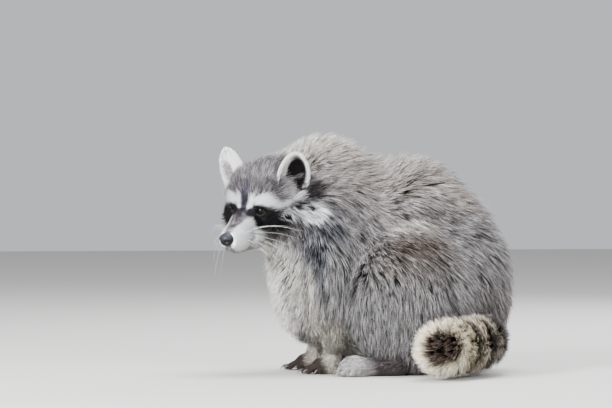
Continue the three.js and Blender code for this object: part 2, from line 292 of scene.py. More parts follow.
# the same with the place and lie in the head's frame
headCombs = {
    "noseTop": (vec(4, 38, -14), 8, vec(0.2, -1, 0.25), 0.7, 10),
    "bridge": (vec(5, 16, -2), 12, vec(0.15, -1, 0.4), 1.6, 12),
    "lip": (vec(13, 30, -30), 9, vec(0.5, -0.9, -0.35), 1.6, 12),
    "muzzleSide": (vec(18, 16, -24), 13, vec(0.55, -0.9, -0.1), 2.4, 13),
    "chin": (vec(6, 30, -46), 9, vec(0.2, -1, -0.3), 2.2, 18),
    "lids": (vec(22.5, -4, -3.2), 8, vec(0.6, -0.8, 0.1), 0.9, 12),
    "eyeFront": (vec(13, 4, 2), 7, vec(0.5, -0.8, 0.5), 1.6, 14),
    "eyeTop": (vec(22, -4, 14), 9, vec(0.55, -0.9, 0.3), 4.2, 18),
    "eyeUnder": (vec(25, 2, -14), 10, vec(0.7, -0.8, -0.15), 2.6, 13),
    "eyeRear": (vec(36, -10, 0), 9, vec(0.75, -0.8, 0), 3.4, 14),
    "forehead": (vec(10, -20, 28), 16, vec(0.15, -0.95, 0.45), 5.5, 20),
    "crown": (vec(12, -52, 46), 20, vec(0.1, -1, 0.1), 9, 20),
    "temple": (vec(40, -34, 14), 14, vec(0.5, -0.85, 0.1), 7, 18),
    "earRoot": (vec(46, -58, 12), 13, vec(0.4, -0.8, 0.1), 8, 22),
    "earMouth": (vec(58, -44, 17), 11, vec(0.4, -0.8, 0.1), 13, 24),
    "cheek": (vec(44, -18, -26), 15, vec(0.7, -0.75, -0.25), 8, 18),
    "ruff": (vec(66, -36, -22), 18, vec(0.55, -0.8, -0.3), 16, 22),
    "jowl": (vec(40, -22, -48), 17, vec(0.5, -0.6, -0.7), 14, 24),
    "throat": (vec(10, -22, -60), 18, vec(0.15, -0.4, -0.9), 15, 28),
    "underJaw": (vec(10, 8, -54), 12, vec(0.15, -0.9, -0.4), 5, 20),
    "napeSide": (vec(62, -74, 6), 20, vec(0.3, -0.95, 0), 16, 22),
}


def combTable():
    rows = []
    for place, reach, lie, depth, lift in bodyCombs.values():
        for spot, way in zip(bothSides(place), bothSides(lie)):
            rows.append((spot, reach, unit(way), depth, lift * combing["bodyLift"]))
    for place, reach, lie, depth, lift in headCombs.values():
        for spot, way in zip(bothSides(place), bothSides(lie)):
            rows.append((inHead(*spot), reach, headward(*way), depth, lift))
    return rows


combs = combTable()


def combed(p):
    # depth, lie and lift at each point: a mean of the combs, each weighed by (1 + d2 / reach2) ^ -sharpness
    total = np.zeros(len(p))
    depth = np.zeros(len(p))
    lift = np.zeros(len(p))
    lie = np.zeros((len(p), 3))
    for place, reach, way, deep, high in combs:
        w = (1 + ((p - place) ** 2).sum(1) / reach ** 2) ** -combing["sharpness"]
        total += w
        depth += w * deep
        lift += w * high
        lie += w[:, None] * way
    return depth / total, unit(lie), lift / total


def skinField(p):
    # the skin lies under the tips by the depth of the coat; lids bulge over the eyes
    lidRadii = np.full(3, eyes["radius"] + eyes["lid"])
    lids = [ball(p, eyeCentre(s), lidRadii) for s in (1, -1)]
    return together(eyes["lidBlend"], [coatTips(p) + combed(p)[0]] + lids)


def slopeOf(p, field, value=None, step=0.3):
    value = field(p) if value is None else value
    return np.stack([(field(p + step * np.eye(3)[k]) - value) / step for k in range(3)], 1)


def settle(p, field, level=0.0, rounds=2):
    # moves points along the slope until the field has the level
    for _ in range(rounds):
        value = field(p)
        slope = slopeOf(p, field, value)
        push = (value - level) / np.maximum((slope ** 2).sum(1), 0.1)
        p = p - slope * np.clip(push, -6, 6)[:, None]
    return p


def gridOf(low, high, step):
    counts = np.ceil((high - low) / step).astype(int) + 1
    axes = [low[k] + step * np.arange(counts[k]) for k in range(3)]
    return np.stack(np.meshgrid(*axes, indexing="ij"), -1)


def surfaceNet(field, low, high, step):
    # one vertex in each cell that the surface crosses, at the mean of its edges' crossings,
    # and one quad round each grid edge that it crosses
    grid = gridOf(low, high, step)
    value = field(grid.reshape(-1, 3)).reshape(grid.shape[:3])
    n = np.array(value.shape) - 1
    total = np.zeros((*n, 3))
    count = np.zeros(n)
    for axis in range(3):
        others = [k for k in range(3) if k != axis]
        for i in (0, 1):
            for j in (0, 1):
                start = np.zeros(3, int)
                start[others] = (i, j)
                end = start.copy()
                end[axis] = 1
                a = value[tuple(slice(start[k], start[k] + n[k]) for k in range(3))]
                b = value[tuple(slice(end[k], end[k] + n[k]) for k in range(3))]
                crossed = (a < 0) != (b < 0)
                share = np.where(crossed, a / np.where(crossed, a - b, 1), 0)
                for k in range(3):
                    total[..., k] += crossed * (share if k == axis else start[k])
                count += crossed
    used = count > 0
    index = np.full(used.shape, -1)
    index[used] = np.arange(used.sum())
    verts = low + step * (np.argwhere(used) + total[used] / count[used][:, None])
    quads = []
    inside = value < 0
    for axis in range(3):
        b, c = (axis + 1) % 3, (axis + 2) % 3
        span = [slice(1, n[k]) if k != axis else slice(0, n[k]) for k in range(3)]
        nextSpan = list(span)
        nextSpan[axis] = slice(1, n[axis] + 1)
        here, there = inside[tuple(span)], inside[tuple(nextSpan)]
        at = np.argwhere(here != there)
        out = here[tuple(at.T)]
        at = at + [1 if k != axis else 0 for k in range(3)]
        eb, ec = np.eye(3, dtype=int)[b], np.eye(3, dtype=int)[c]
        ring = [index[tuple((at - m * eb - o * ec).T)] for m, o in ((0, 0), (1, 0), (1, 1), (0, 1))]
        quad = np.stack(ring, 1)
        quads.append(np.where(out[:, None], quad, quad[:, ::-1]))
    return verts, np.concatenate(quads)


def trianglesOf(quads):
    return np.concatenate([quads[:, [0, 1, 2]], quads[:, [0, 2, 3]]])


def ringFaces(rows, around):
    # triangles between rows of points, each row a closed ring
    i, j = np.meshgrid(np.arange(rows - 1), np.arange(around), indexing="ij")
    k = (j + 1) % around
    quads = np.stack([i * around + j, i * around + k, (i + 1) * around + k, (i + 1) * around + j], -1)
    return trianglesOf(quads.reshape(-1, 4))


def closedFaces(rows, around):
    # the same with a fan at either end, round the two points that follow the rows
    ring = np.arange(around)
    first = np.stack([np.full(around, rows * around), np.roll(ring, -1), ring], 1)
    last = first[:, ::-1] + [(rows - 1) * around, (rows - 1) * around, 1]
    return np.concatenate([ringFaces(rows, around), first, last])


def withEnds(verts, around):
    # adds the middle of the first row and of the last
    return np.concatenate([verts, [verts[:around].mean(0), verts[-around:].mean(0)]])


def refined(verts, quads, levels):
    # cuts the faces near each named place in two, then two again nearer in
    mesh = bpy.data.meshes.new("refined")
    mesh.from_pydata(verts.tolist(), [], quads.tolist())
    work = bmesh.new()
    work.from_mesh(mesh)
    for places in levels:
        centres = np.array([f.calc_center_median() for f in work.faces])
        near = np.zeros(len(centres), bool)
        for place, reach in places:
            near |= np.linalg.norm(centres - place, axis=1) < reach
        edges = {e for f, chosen in zip(work.faces, near) if chosen for e in f.edges}
        bmesh.ops.subdivide_edges(work, edges=list(edges), cuts=1, use_grid_fill=True)
    bmesh.ops.triangulate(work, faces=work.faces[:])
    work.to_mesh(mesh)
    work.free()
    points = np.zeros(len(mesh.vertices) * 3)
    mesh.vertices.foreach_get("co", points)
    tris = np.zeros(len(mesh.polygons) * 3, int)
    mesh.polygons.foreach_get("vertices", tris)
    bpy.data.meshes.remove(mesh)
    return points.reshape(-1, 3), tris.reshape(-1, 3)


def normalsOf(verts, tris):
    a, b, c = (verts[tris[:, k]] for k in range(3))
    flat = np.cross(b - a, c - a)
    normals = np.zeros_like(verts)
    for k in range(3):
        for m in range(3):
            normals[:, m] += np.bincount(tris[:, k], flat[:, m], len(verts))
    return unit(normals)


def addObject(name, data):
    item = bpy.data.objects.new(name, data)
    bpy.context.scene.collection.objects.link(item)
    return item


def addMesh(name, verts, faces, material, colour, uv=None):
    mesh = bpy.data.meshes.new(name)
    mesh.vertices.add(len(verts))
    mesh.vertices.foreach_set("co", ((verts - middle) / 1000).astype(np.float32).ravel())
    mesh.loops.add(faces.size)
    mesh.loops.foreach_set("vertex_index", faces.ravel().astype(np.int32))
    mesh.polygons.add(len(faces))
    mesh.polygons.foreach_set("loop_start", np.arange(len(faces), dtype=np.int32) * faces.shape[1])
    mesh.polygons.foreach_set("use_smooth", np.ones(len(faces), bool))
    mesh.update(calc_edges=True)
    layer = mesh.color_attributes.new(name="coat", type="FLOAT_COLOR", domain="POINT")
    rgba = np.concatenate([colour, np.ones((len(colour), 1))], 1)
    layer.data.foreach_set("color", rgba.astype(np.float32).ravel())
    if uv is not None:
        layer = mesh.uv_layers.new(name="OFBake")
        layer.data.foreach_set("uv", uv[faces.ravel()].astype(np.float32).ravel())
    mesh.materials.append(material)
    piece = addObject(name, mesh)
    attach(piece, "root")
    print("made", name, len(faces), "faces")
    return piece


def addNode(tree, kind, settings=None, links=None):
    # one node with its settings, and links given as {input: (node, output)}
    node = tree.nodes.new(kind)
    for key, value in (settings or {}).items():
        if key in node.inputs:
            node.inputs[key].default_value = value
        else:
            setattr(node, key, value)
    for key, (other, output) in (links or {}).items():
        tree.links.new(other.outputs[output], node.inputs[key])
    return node


def newMaterial(name, settings):
    material = bpy.data.materials.new(name)
    material.use_nodes = True
    tree = material.node_tree
    tree.nodes.clear()
    shader = addNode(tree, "ShaderNodeBsdfPrincipled", settings)
    addNode(tree, "ShaderNodeOutputMaterial", links={"Surface": (shader, "BSDF")})
    return material, tree, shader


def grain(tree, sizeMm, detail=3.0):
    # noise whose lumps are about the given size
    place = addNode(tree, "ShaderNodeTexCoord")
    return addNode(tree, "ShaderNodeTexNoise", {"Scale": 1000 / sizeMm, "Detail": detail},
                   {"Vector": (place, "Object")})


def painted(tree, shader, noise=None, low=1.0, high=1.0):
    # the colour painted on the piece, lightened and darkened a little by the noise
    paint = addNode(tree, "ShaderNodeAttribute", {"attribute_name": "coat"})
    colour = paint.outputs["Color"]
    if noise is not None:
        swing = addNode(tree, "ShaderNodeMapRange", {"To Min": low, "To Max": high},
                        {"Value": (noise, "Fac")})
        tinted = addNode(tree, "ShaderNodeVectorMath", {"operation": "SCALE"},
                         {0: (paint, "Color"), "Scale": (swing, "Result")})
        colour = tinted.outputs["Vector"]
    tree.links.new(colour, shader.inputs["Base Color"])


def bumpy(tree, shader, pattern, deepMm, strength=1.0, output="Fac"):
    bump = addNode(tree, "ShaderNodeBump", {"Distance": deepMm / 1000, "Strength": strength},
                   {"Height": (pattern, output)})
    tree.links.new(bump.outputs["Normal"], shader.inputs["Normal"])


def furFinish():
    # guard hair and underfur: keratin, IOR about 1.5, whose scales break its gloss into a soft sheen
    material, tree, shader = newMaterial("furHair", {
        "Roughness": 0.7, "IOR": 1.5, "Specular IOR Level": 0.14})
    painted(tree, shader, grain(tree, 1.6, 2.0), 0.72, 1.28)
    return material


def skinFinish():
    # hide under the coat: matte, with the nap of short flat fur as bump, drawn 0.9 mm coarse to show
    material, tree, shader = newMaterial("furHide", {
        "Roughness": 0.72, "IOR": 1.4, "Specular IOR Level": 0.06})
    nap = grain(tree, 0.9, 4.0)
    painted(tree, shader, nap, 0.7, 1.3)
    bumpy(tree, shader, nap, 0.35)
    return material


def noseFinish():
    # moist bare nose leather: pebbled in 0.8 mm cells, with a dull gloss
    material, tree, shader = newMaterial("noseLeather", {
        "Roughness": 0.48, "IOR": 1.4, "Specular IOR Level": 0.25,
        "Coat Weight": 0.08, "Coat Roughness": 0.3})
    place = addNode(tree, "ShaderNodeTexCoord")
    cells = addNode(tree, "ShaderNodeTexVoronoi", {"Scale": 1000 / 0.8}, {"Vector": (place, "Object")})
    painted(tree, shader)
    bumpy(tree, shader, cells, 0.18, 0.8, "Distance")
    return material


def eyeFinish():
    # a wet cornea over a dark brown iris: very smooth, with the cornea's IOR
    material, tree, shader = newMaterial("eyeWet", {
        "Roughness": 0.05, "IOR": 1.38, "Specular IOR Level": 0.2})
    painted(tree, shader)
    return material


def clawFinish():
    # horn: dark keratin with a fine worn grain
    material, tree, shader = newMaterial("clawHorn", {"Roughness": 0.42, "IOR": 1.54})
    wear = grain(tree, 0.7, 3.0)
    painted(tree, shader, wear, 0.6, 1.4)
    bumpy(tree, shader, wear, 0.08)
    return material


def whiskerFinish():
    # a stiff pale whisker: smooth keratin
    material, tree, shader = newMaterial("whiskerHair", {"Roughness": 0.35, "IOR": 1.55})
    painted(tree, shader)
    return material


furHair, furHide, noseLeather = furFinish(), skinFinish(), noseFinish()
eyeWet, clawHorn, whiskerHair = eyeFinish(), clawFinish(), whiskerFinish()


# each hair has three tones, at its root, middle and tip; the coat's ground is a grizzled grey
ground = ("#282422", "#666364", "#a4a1a2")
white = ("#dfe3e8", "#f2f5f9", "#fafbfd")
black = ("#050505", "#08080a", "#101013")

# name: (frame, place, radii, softness, root, middle, tip); mirrored, later ones lie over earlier ones
markings = {
    "back": ("body", vec(0, 20, 300), vec(120, 190, 120), 0.5, "#362e2b", "#887f7a", "#b5aca5"),
    # paler on top of the hump: a painted highlight where the light from above falls
    "humpHighlight": ("body", vec(0, -92, 320), vec(76, 70, 56), 0.6, "#463c35", "#a59b92", "#dcd2c6"),
    "haunch": ("body", vec(132, 0, 90), vec(40, 100, 96), 0.35, "#241f1e", "#5c5959", "#bcbabe"),
    # painted shade with a cool tint: the shadow on the neck under the lowered head
    "neckShade": ("body", vec(92, -112, 152), vec(34, 36, 58), 0.5, "#151517", "#393a3e", "#8d8f97"),
    "flank": ("body", vec(98, -84, 110), vec(30, 30, 60), 0.5, "#2c2928", "#757373", "#b4b2b2"),
    # painted shade in the crease between the upper arm and the haunch
    "armShade": ("body", vec(100, -80, 122), vec(24, 9, 40), 0.6, "#171514", "#3e3c3c", "#7d7b7c"),
    "haunchTop": ("body", vec(114, 2, 150), vec(34, 62, 42), 1.2, "#221d1b", "#564f4c", "#9f9893"),
    # pale-tipped hair along the haunch's top edge, with the light it catches from above painted in as a
    # highlight
    "paleEdgeHighlight": ("body", vec(104, 2, 188), vec(24, 38, 7), 0.9, "#5f5852", "#bdb6ad", "#e4ded4"),
    "haunchDark": ("body", vec(116, 4, 164), vec(30, 42, 17), 1.2, "#191413", "#3f3734", "#80756f"),
    "rumpLow": ("body", vec(60, 130, 60), vec(90, 50, 50), 0.5, "#282321", "#625d5c", "#97918f"),
    "breast": ("body", vec(18, -172, 112), vec(46, 44, 96), 0.4, "#a8a399", "#efece4", "#f9f6ef"),
    "breastSide": ("body", vec(62, -148, 90), vec(30, 34, 56), 0.5, "#56524c", "#b8b4ab", "#e2dfd8"),
    "belly": ("body", vec(0, -30, 6), vec(86, 120, 40), 0.4, "#6f6a63", "#b8b4ab", "#d4d0c7"),
    "arm": ("body", vec(50, -104, 40), vec(30, 34, 44), 0.35, "#6c655b", "#a09a8f", "#c4beb4"),
    "headGround": ("head", vec(0, -40, 0), vec(80, 54, 58), 0.25, "#181516", "#343132", "#5d595b"),
    "crownDark": ("head", vec(10, -44, 42), vec(27, 34, 16), 0.6, "#1a1717", "#3b3839", "#716d6f"),
    "temple": ("head", vec(50, -40, 17), vec(15, 15, 15), 0.6, "#5a5657", "#959193", "#bcb8ba"),
    "brow": ("head", vec(27, -7, 10), vec(17, 16, 7.6), 0.35, *white),
    "browInner": ("head", vec(7.4, 1, 9.5), vec(4.8, 16, 10.5), 0.35, *white),
    "muzzle": ("head", vec(16, 20, -26), vec(15.5, 31, 19.5), 0.22, *white),
    "mask": ("head", vec(25, -2, -12), vec(15, 14, 15.5), 0.22, *black),
    "maskRear": ("head", vec(41, -13, -20), vec(17.5, 17, 13.5), 0.3, "#050505", "#09090a", "#131314"),
    "eyeRing": ("head", vec(22, -4, -2), vec(12, 10, 7.8), 0.25, *black),
    "eyeCorner": ("head", vec(33, -10, -7), vec(10, 9, 7), 0.3, *black),
    "bandFront": ("head", vec(45, -19, 3), vec(15, 14, 7.5), 0.5, "#b9bbbf", "#e3e4e8", "#f2f3f6"),
    "bandMid": ("head", vec(60, -27, -11), vec(16, 15, 9), 0.6, "#8f8f91", "#c9c9cc", "#ececee"),
    "bandRear": ("head", vec(82, -42, -16), vec(20, 18, 14), 0.6, "#a7abad", "#e2e6e9", "#f4f6f8"),
    "earTuft": ("head", vec(60, -43, 9), vec(9, 10, 5), 0.8, "#8b8b8e", "#c5c5c9", "#e6e6ea"),
    "bridge": ("head", vec(0, 24, -4), vec(9.6, 25, 11.5), 0.4, "#322c2f", "#534c50", "#746c70"),
    "stripe": ("head", vec(0, 0, 10), vec(4.6, 27, 27), 0.45, "#121115", "#26252a", "#3d3c46"),
    "innerCorner": ("head", vec(11.5, 4, -2), vec(6, 9, 6), 0.5, "#0e0c0d", "#1c191b", "#332f33"),
    "chin": ("head", vec(0, 24, -49), vec(24, 32, 12), 0.3, "#8f8b82", "#bdb9b1", "#d6d3cb"),
    "throat": ("head", vec(0, -24, -72), vec(40, 40, 22), 0.4, "#7d7971", "#bab7ae", "#dddad3"),
    "cheek": ("head", vec(46, -14, -42), vec(18, 16, 9), 0.5, "#1d1a1a", "#413e3d", "#6e6b69"),
    "behindEar": ("head", vec(77, -58, 13), vec(14, 14, 13), 0.5, "#100f0f", "#221f1f", "#3d3a3a"),
}


def tonesAt(p):
    # the ground with each marking laid over it: an ellipsoid whose edge is soft and ragged
    tones = [evenTone(c, len(p)) for c in ground]
    inFrame = {"body": p.copy(), "head": headPlace(p)}
    for q in inFrame.values():
        q[:, 0] = np.abs(q[:, 0])
    ragged = ripple(p, 9, 3) * 0.5 + ripple(p, 4, 5) * 0.5
    for space, place, radii, soft, *colours in markings.values():
        far = np.linalg.norm((inFrame[space] - place) / radii, axis=1) + ragged * soft * 0.22
        tones = laidOver(tones, colours, ease((1 + soft / 2 - far) / soft))
    return tones


hide = {
    "low": vec(-142, -262, -6), "high": vec(146, 164, 322), "cell": 3.3, "lowest": 0.5,
    # rounds of finer faces: their reach from the eyes, and (place in the head's frame, reach)
    "finer": [(24, [(vec(0, 24, -30), 34), (vec(0, 0, -14), 24)]), (16, [(vec(0, 34, -34), 20)]), (11.5, [])],
}


def bodyShell():
    verts, quads = surfaceNet(skinField, hide["low"], hide["high"], hide["cell"])
    verts = settle(verts, skinField)
    levels = [[(eyeCentre(s, 5), reach) for s in (1, -1)] + [(inHead(*spot), r) for spot, r in others]
              for reach, others in hide["finer"]]
    return refined(verts, quads, levels)


def eyeAxes(s):
    # where one eye looks, its outer corner's way and its upper lid's
    ahead = headwardOn(s, eyes["opens"])
    outward = unit(across(ahead, headwardOn(s, eyes["corner"])))
    return eyeCentre(s), ahead, outward, np.cross(ahead, outward) * s


def openLids(verts):
    # within an almond on the front of each eye the skin sinks behind the eyeball, leaving two lids
    # that hug it; the second array marks the rim of the lower lid
    lowerRim = np.zeros(len(verts))
    for s in (1, -1):
        centre, ahead, outward, upward = eyeAxes(s)
        q = verts - centre
        w, a, b = q @ ahead, q @ outward, q @ upward
        arch = 1 - (a / eyes["wide"]) ** 2
        within = np.minimum(eyes["upper"] * arch - b, b + eyes["lower"] * arch)
        far = np.linalg.norm(q, axis=1)
        near = (w > 0) & (far < eyes["radius"] + 5)
        sunk = ease((within + 0.35) / 0.5)
        rim = np.exp(-((within + 0.8) / 0.6) ** 2)
        hug = ease((within + 3.4) / 2.8)
        lid = mix(np.maximum(far, eyes["radius"] + 0.45), eyes["radius"] + 0.55, hug) + rim * 0.3
        target = mix(lid, eyes["radius"] - 1.2, sunk)
        verts = np.where(near[:, None], centre + q * (target / np.maximum(far, 1e-6))[:, None], verts)
        lowerRim = np.maximum(lowerRim, near * (b < 0) * (np.abs(a) < eyes["wide"]) * rim)
    return verts, lowerRim


mouth = {"u": -37.5, "f": 30, "fall": 0.06, "bow": 2.2, "corner": -4, "groove": 1.5, "dark": 0.85}


def mouthLine(p):
    # how near a point is to the line of the closed lips, from under the nose to the corner
    l, f, u = headPlace(p).T
    bow = mouth["bow"] * np.cos(np.clip(l, -12, 12) / 12 * 3.14159) * (f > 26)
    height = mouth["u"] - mouth["fall"] * (mouth["f"] - f) - bow
    return np.exp(-(u - height) ** 2) * ease((f - mouth["corner"]) / 8) * ease((70 - np.abs(l)) / 10)


print("skin: solving the body")
bodyVerts, bodyTris = bodyShell()
bodyVerts = settle(bodyVerts, skinField, rounds=1)
bodyNormals = normalsOf(bodyVerts, bodyTris)
lipShare = mouthLine(bodyVerts)
bodyVerts = bodyVerts - bodyNormals * (lipShare * mouth["groove"])[:, None]
bodyVerts, lowerRim = openLids(bodyVerts)
bodyVerts[:, 2] = np.maximum(bodyVerts[:, 2], hide["lowest"])
print("skin: body has", len(bodyTris), "triangles")

ear = {
    "l": 49, "f": -49, "u": 33, "wide": 19.5, "tall": 30, "deep": 10.5, "wall": 1.5,
    "up": (0.22, -0.1, 0.97), "facing": {1: (0.7, 0.71), -1: (-0.2, 0.98)},
    "mouthWide": 15, "mouthTall": 27,
    # the cup's dark is painted shade: deep and wide in the near ear, and only a small grey centre in the far
    # ear, which is painted as lit
    "dark": {1: (0.2, 0.72, 0.88, "#0d0b0c"), -1: (0.62, 0.3, 0.5, "#8d8988")},  # its place, size and tone
    "tufts": 6000, "fringe": 420,
}


def earFrame(s):
    up = headwardOn(s, ear["up"])
    front = unit(across(up, headward(*ear["facing"][s], 0)))
    return np.stack([np.cross(up, front), front, up], 1), inHead(s * ear["l"], ear["f"], ear["u"])


def inEar(p, s):
    turn, centre = earFrame(s)
    return ((p - centre) @ turn).T


def cupDepth(r):
    return ear["deep"] * np.sqrt(np.maximum(1 - 0.98 * r * r, 0))


def earMouth(p, s, foremost):
    # how far a point is out from the middle of an ear's open mouth, 1 at its rim, and 9 if it isn't by it
    x, y, z = inEar(p, s)
    far = np.hypot(x / ear["mouthWide"], (z + 2) / ear["mouthTall"])
    return np.where((y > -12) & (y < foremost), far, 9)


def earShell(s):
    # a cup: one profile from the middle of its back out to the rim and in again, carried round an oval
    rings, around = 15, 44
    out = np.linspace(0.02, 1, rings)
    profile = np.concatenate([out, out[::-1]])
    inner = np.concatenate([np.zeros(rings), np.ones(rings)])
    angle = np.linspace(0, 2 * np.pi, around, endpoint=False)
    r, a = np.meshgrid(profile, angle, indexing="ij")
    x = ear["wide"] * r * np.cos(a) * (1 - 0.10 * np.sin(a))
    z = ear["tall"] * r * np.sin(a)
    y = -cupDepth(r) + 2.2 * r ** 6
    y = y + inner[:, None] * ear["wall"] * (1 + 1.2 * (1 - r)) + 0.9 * np.sin(3 * a) * r ** 3
    turn, centre = earFrame(s)
    verts = np.stack([x, y, z], -1).reshape(-1, 3) @ turn.T + centre
    return withEnds(verts, around), closedFaces(2 * rings, around)


# hair is its depth at the heel and the toes, tones its colour there, both with where the change starts
# and how long it is
feet = {
    "fore": {"length": 14, "height": 10, "heel": 11, "ball": 10, "width": 11, "toe": 19, "thick": 3.8,
             "spacing": 5.6, "splay": 0.5, "taper": 0.25, "coat": 1.2, "reach": 54, "tufts": 3600,
             "hair": (2.0, 0.7, 4, 18), "tones": ("#9c968b", "#2b2523", 2, 16),
             "heading": 0.12, "leg": (12, 11)},
    "hind": {"length": 66, "height": 12, "heel": 13, "ball": 13, "width": 15, "toe": 13, "thick": 6,
             "spacing": 6.4, "splay": 0.25, "taper": 0.3, "coat": 2.0, "reach": 112, "tufts": 5200,
             "hair": (3.0, 1.9, 50, 30), "tones": ("#3a3435", "#8d8a8a", 30, 26),
             "heading": 0.1, "leg": (20, 15), "spot": vec(96, -14, 0)},
}
clawLength = 7


def footPlan(kind, s):
    # the spot, heading and leg of one foot, and a way to place points in it: s across, f forward, z up
    size = feet[kind]
    if kind == "fore":
        wrist = wristAt[s]
        spot = wrist * vec(1, 1, 0) + vec(0, -2, 0)
        leg = (wrist, spot + vec(0, 0, 12), *size["leg"])
    else:
        spot = size["spot"] * vec(s, 1, 1)
        leg = (spot + vec(0, 6, 34), spot + vec(0, -8, 16), *size["leg"])
    turn = turnOf(0, 0, np.degrees(s * size["heading"]))
    return (lambda a, f, z: turn @ vec(a, -f, z) + spot), leg


def alongFoot(p, kind, s):
    place, _ = footPlan(kind, s)
    spot = place(0, 0, 0)
    return (p - spot) @ (place(0, 1, 0) - spot)


def toeLines(kind, s):
    # each toe's root, knuckle and tip, and its claw's three points
    size = feet[kind]
    place, _ = footPlan(kind, s)
    thick = size["thick"]
    toes = []
    for i in range(5):
        share = i / 2 - 1
        angle = share * size["splay"]
        long = size["toe"] * (1 - size["taper"] * share * share)
        a, f = share * size["spacing"] * 2, size["length"] + 4 - 9 * share * share
        # how far each point is from the toe's root, and how high
        points = [(0, 9), (long * 0.5, thick + 5), (long, thick - 0.6), (long + 0.5, thick + 1.6),
                  (long + 1 + clawLength * 0.5, thick + 1.6), (long + 1 + clawLength, 1.3)]
        points = [place(a + far * np.sin(angle), f + far * np.cos(angle), z) for far, z in points]
        toes.append((points[:3], points[3:]))
    return toes


def footShell(kind, s):
    size = feet[kind]
    place, leg = footPlan(kind, s)
    toes = [toe for toe, _ in toeLines(kind, s)]

    def field(p):
        h, n, thick = size["height"], size["length"], size["thick"]
        sole = together(10, [
            limb(p, place(0, 0, h), place(0, n, h - 2), size["heel"], size["ball"]),
            limb(p, place(0, n - 4, 9), place(0, n, 9), size["width"], size["width"] - 0.1),
            limb(p, *leg),
        ])
        digits = [limb(p, root, knuckle, thick + 0.8, thick + 0.5) for root, knuckle, _ in toes]
        digits += [limb(p, knuckle, tip, thick + 0.5, thick) for _, knuckle, tip in toes]
        return together(4, [sole, np.minimum.reduce(digits)]) + size["coat"]

    corners = np.array([place(a, f, z) for a in (-34, 34) for f in (-24, size["reach"]) for z in (-3, 62)])
    verts, quads = surfaceNet(field, corners.min(0), corners.max(0), 1.6)
    verts = settle(verts, field)
    verts[:, 2] = np.maximum(verts[:, 2], 0.3)
    return verts, trianglesOf(quads)


# the tail is a brush about a line, and a place in it is a length, an angle and a distance from the line
tail = {
    "line": [vec(-10, 84, 62), vec(48, 98, 48), vec(100, 86, 42), vec(142, 58, 40), vec(174, 32, 40),
             vec(204, 17, 40)],
    "core": 11, "run": 34, "tip": 41.0, "locks": 1900, "perLock": 8, "onEnd": 0.24,
}


def smoothLine(points, steps=80):
    # centripetal Catmull-Rom through the points, with its ends carried on
    p = [2 * points[0] - points[1]] + points + [2 * points[-1] - points[-2]]
    out = []
    for a, b, c, d in zip(p, p[1:], p[2:], p[3:]):
        t0 = 0.0
        t1 = t0 + np.linalg.norm(b - a) ** 0.5
        t2 = t1 + np.linalg.norm(c - b) ** 0.5
        t3 = t2 + np.linalg.norm(d - c) ** 0.5
        t = np.linspace(t1, t2, steps, endpoint=False)[:, None]
        a1 = (t1 - t) / (t1 - t0) * a + (t - t0) / (t1 - t0) * b
        a2 = (t2 - t) / (t2 - t1) * b + (t - t1) / (t2 - t1) * c
        a3 = (t3 - t) / (t3 - t2) * c + (t - t2) / (t3 - t2) * d
        b1 = (t2 - t) / (t2 - t0) * a1 + (t - t0) / (t2 - t0) * a2
        b2 = (t3 - t) / (t3 - t1) * a2 + (t - t1) / (t3 - t1) * a3
        out.append((t2 - t) / (t2 - t1) * b1 + (t - t1) / (t2 - t1) * b2)
    return np.concatenate(out + [points[-1][None]])


tailLine = smoothLine(tail["line"])
tailWay = unit(np.gradient(tailLine, axis=0))
tailSpan = np.concatenate([[0], np.cumsum(np.linalg.norm(np.diff(tailLine, axis=0), axis=1))])
tailLong = tailSpan[-1]


def tailOuter(s):
    # the brush's radius at a length s, closed by a round end
    t = np.clip(s / tailLong, 0, 1)
    wide = 26 + 15 * np.sin(np.pi / 2 * np.minimum(0.1 + 1.4 * t, 1))
    past = np.clip((s - tailLong) / tail["tip"], 0, 1)
    return wide * np.sqrt(np.maximum(1 - past ** 2, 0))


def tailInner(s):
    past = np.clip((s - tailLong + 4) / 14, 0, 1)
    return (tail["core"] + 3 * (1 - s / tailLong)) * np.sqrt(np.maximum(1 - past ** 2, 0))


def tailPlace(s, angle, r):
    # a point at length s, angle round the line and distance r from it
    inLine = np.clip(s, 0, tailLong)
    centre = np.stack([np.interp(inLine, tailSpan, tailLine[:, k]) for k in range(3)], -1)
    way = unit(np.stack([np.interp(inLine, tailSpan, tailWay[:, k]) for k in range(3)], -1))
    centre = centre + way * (s - inLine)[..., None]
    side = unit(np.cross(way, vec(0, 0, 1)))
    up = np.cross(side, way)
    out = side * np.cos(angle)[..., None] + up * np.sin(angle)[..., None]
    return centre + out * r[..., None], way, out


# where each of the tail's rings starts along its line, and its tones at a hair's root, middle and tip
tailRings = [
    (0, "#2a2625", "#5a5757", "#7d7a7a"), (tailLong - 128, "#141211", "#29241f", "#3d3632"),
    (tailLong - 112, "#4b433a", "#857c70", "#a89f91"), (tailLong - 92, "#141211", "#2a2521", "#443b35"),
    (tailLong - 76, "#5c5144", "#9d927f", "#bfb4a0"), (tailLong - 56, "#161210", "#2f2723", "#4c4139"),
    (tailLong - 40, "#74684f", "#b7ab90", "#d6cab0"), (tailLong - 20, "#1a1411", "#382d26", "#5d4f44"),
    (tailLong - 3, "#7d7054", "#c7bb9e", "#e2d8bf"), (tailLong + 31, "#120e0c", "#2c2420", "#54473f"),
]


def ringTones(s, wobble):
    s = s + wobble * 3.5
    tones = [evenTone(c, len(s)) for c in tailRings[0][1:]]
    for edge, *colours in tailRings[1:]:
        tones = laidOver(tones, colours, ease((s - edge + 3) / 6))
    return tones


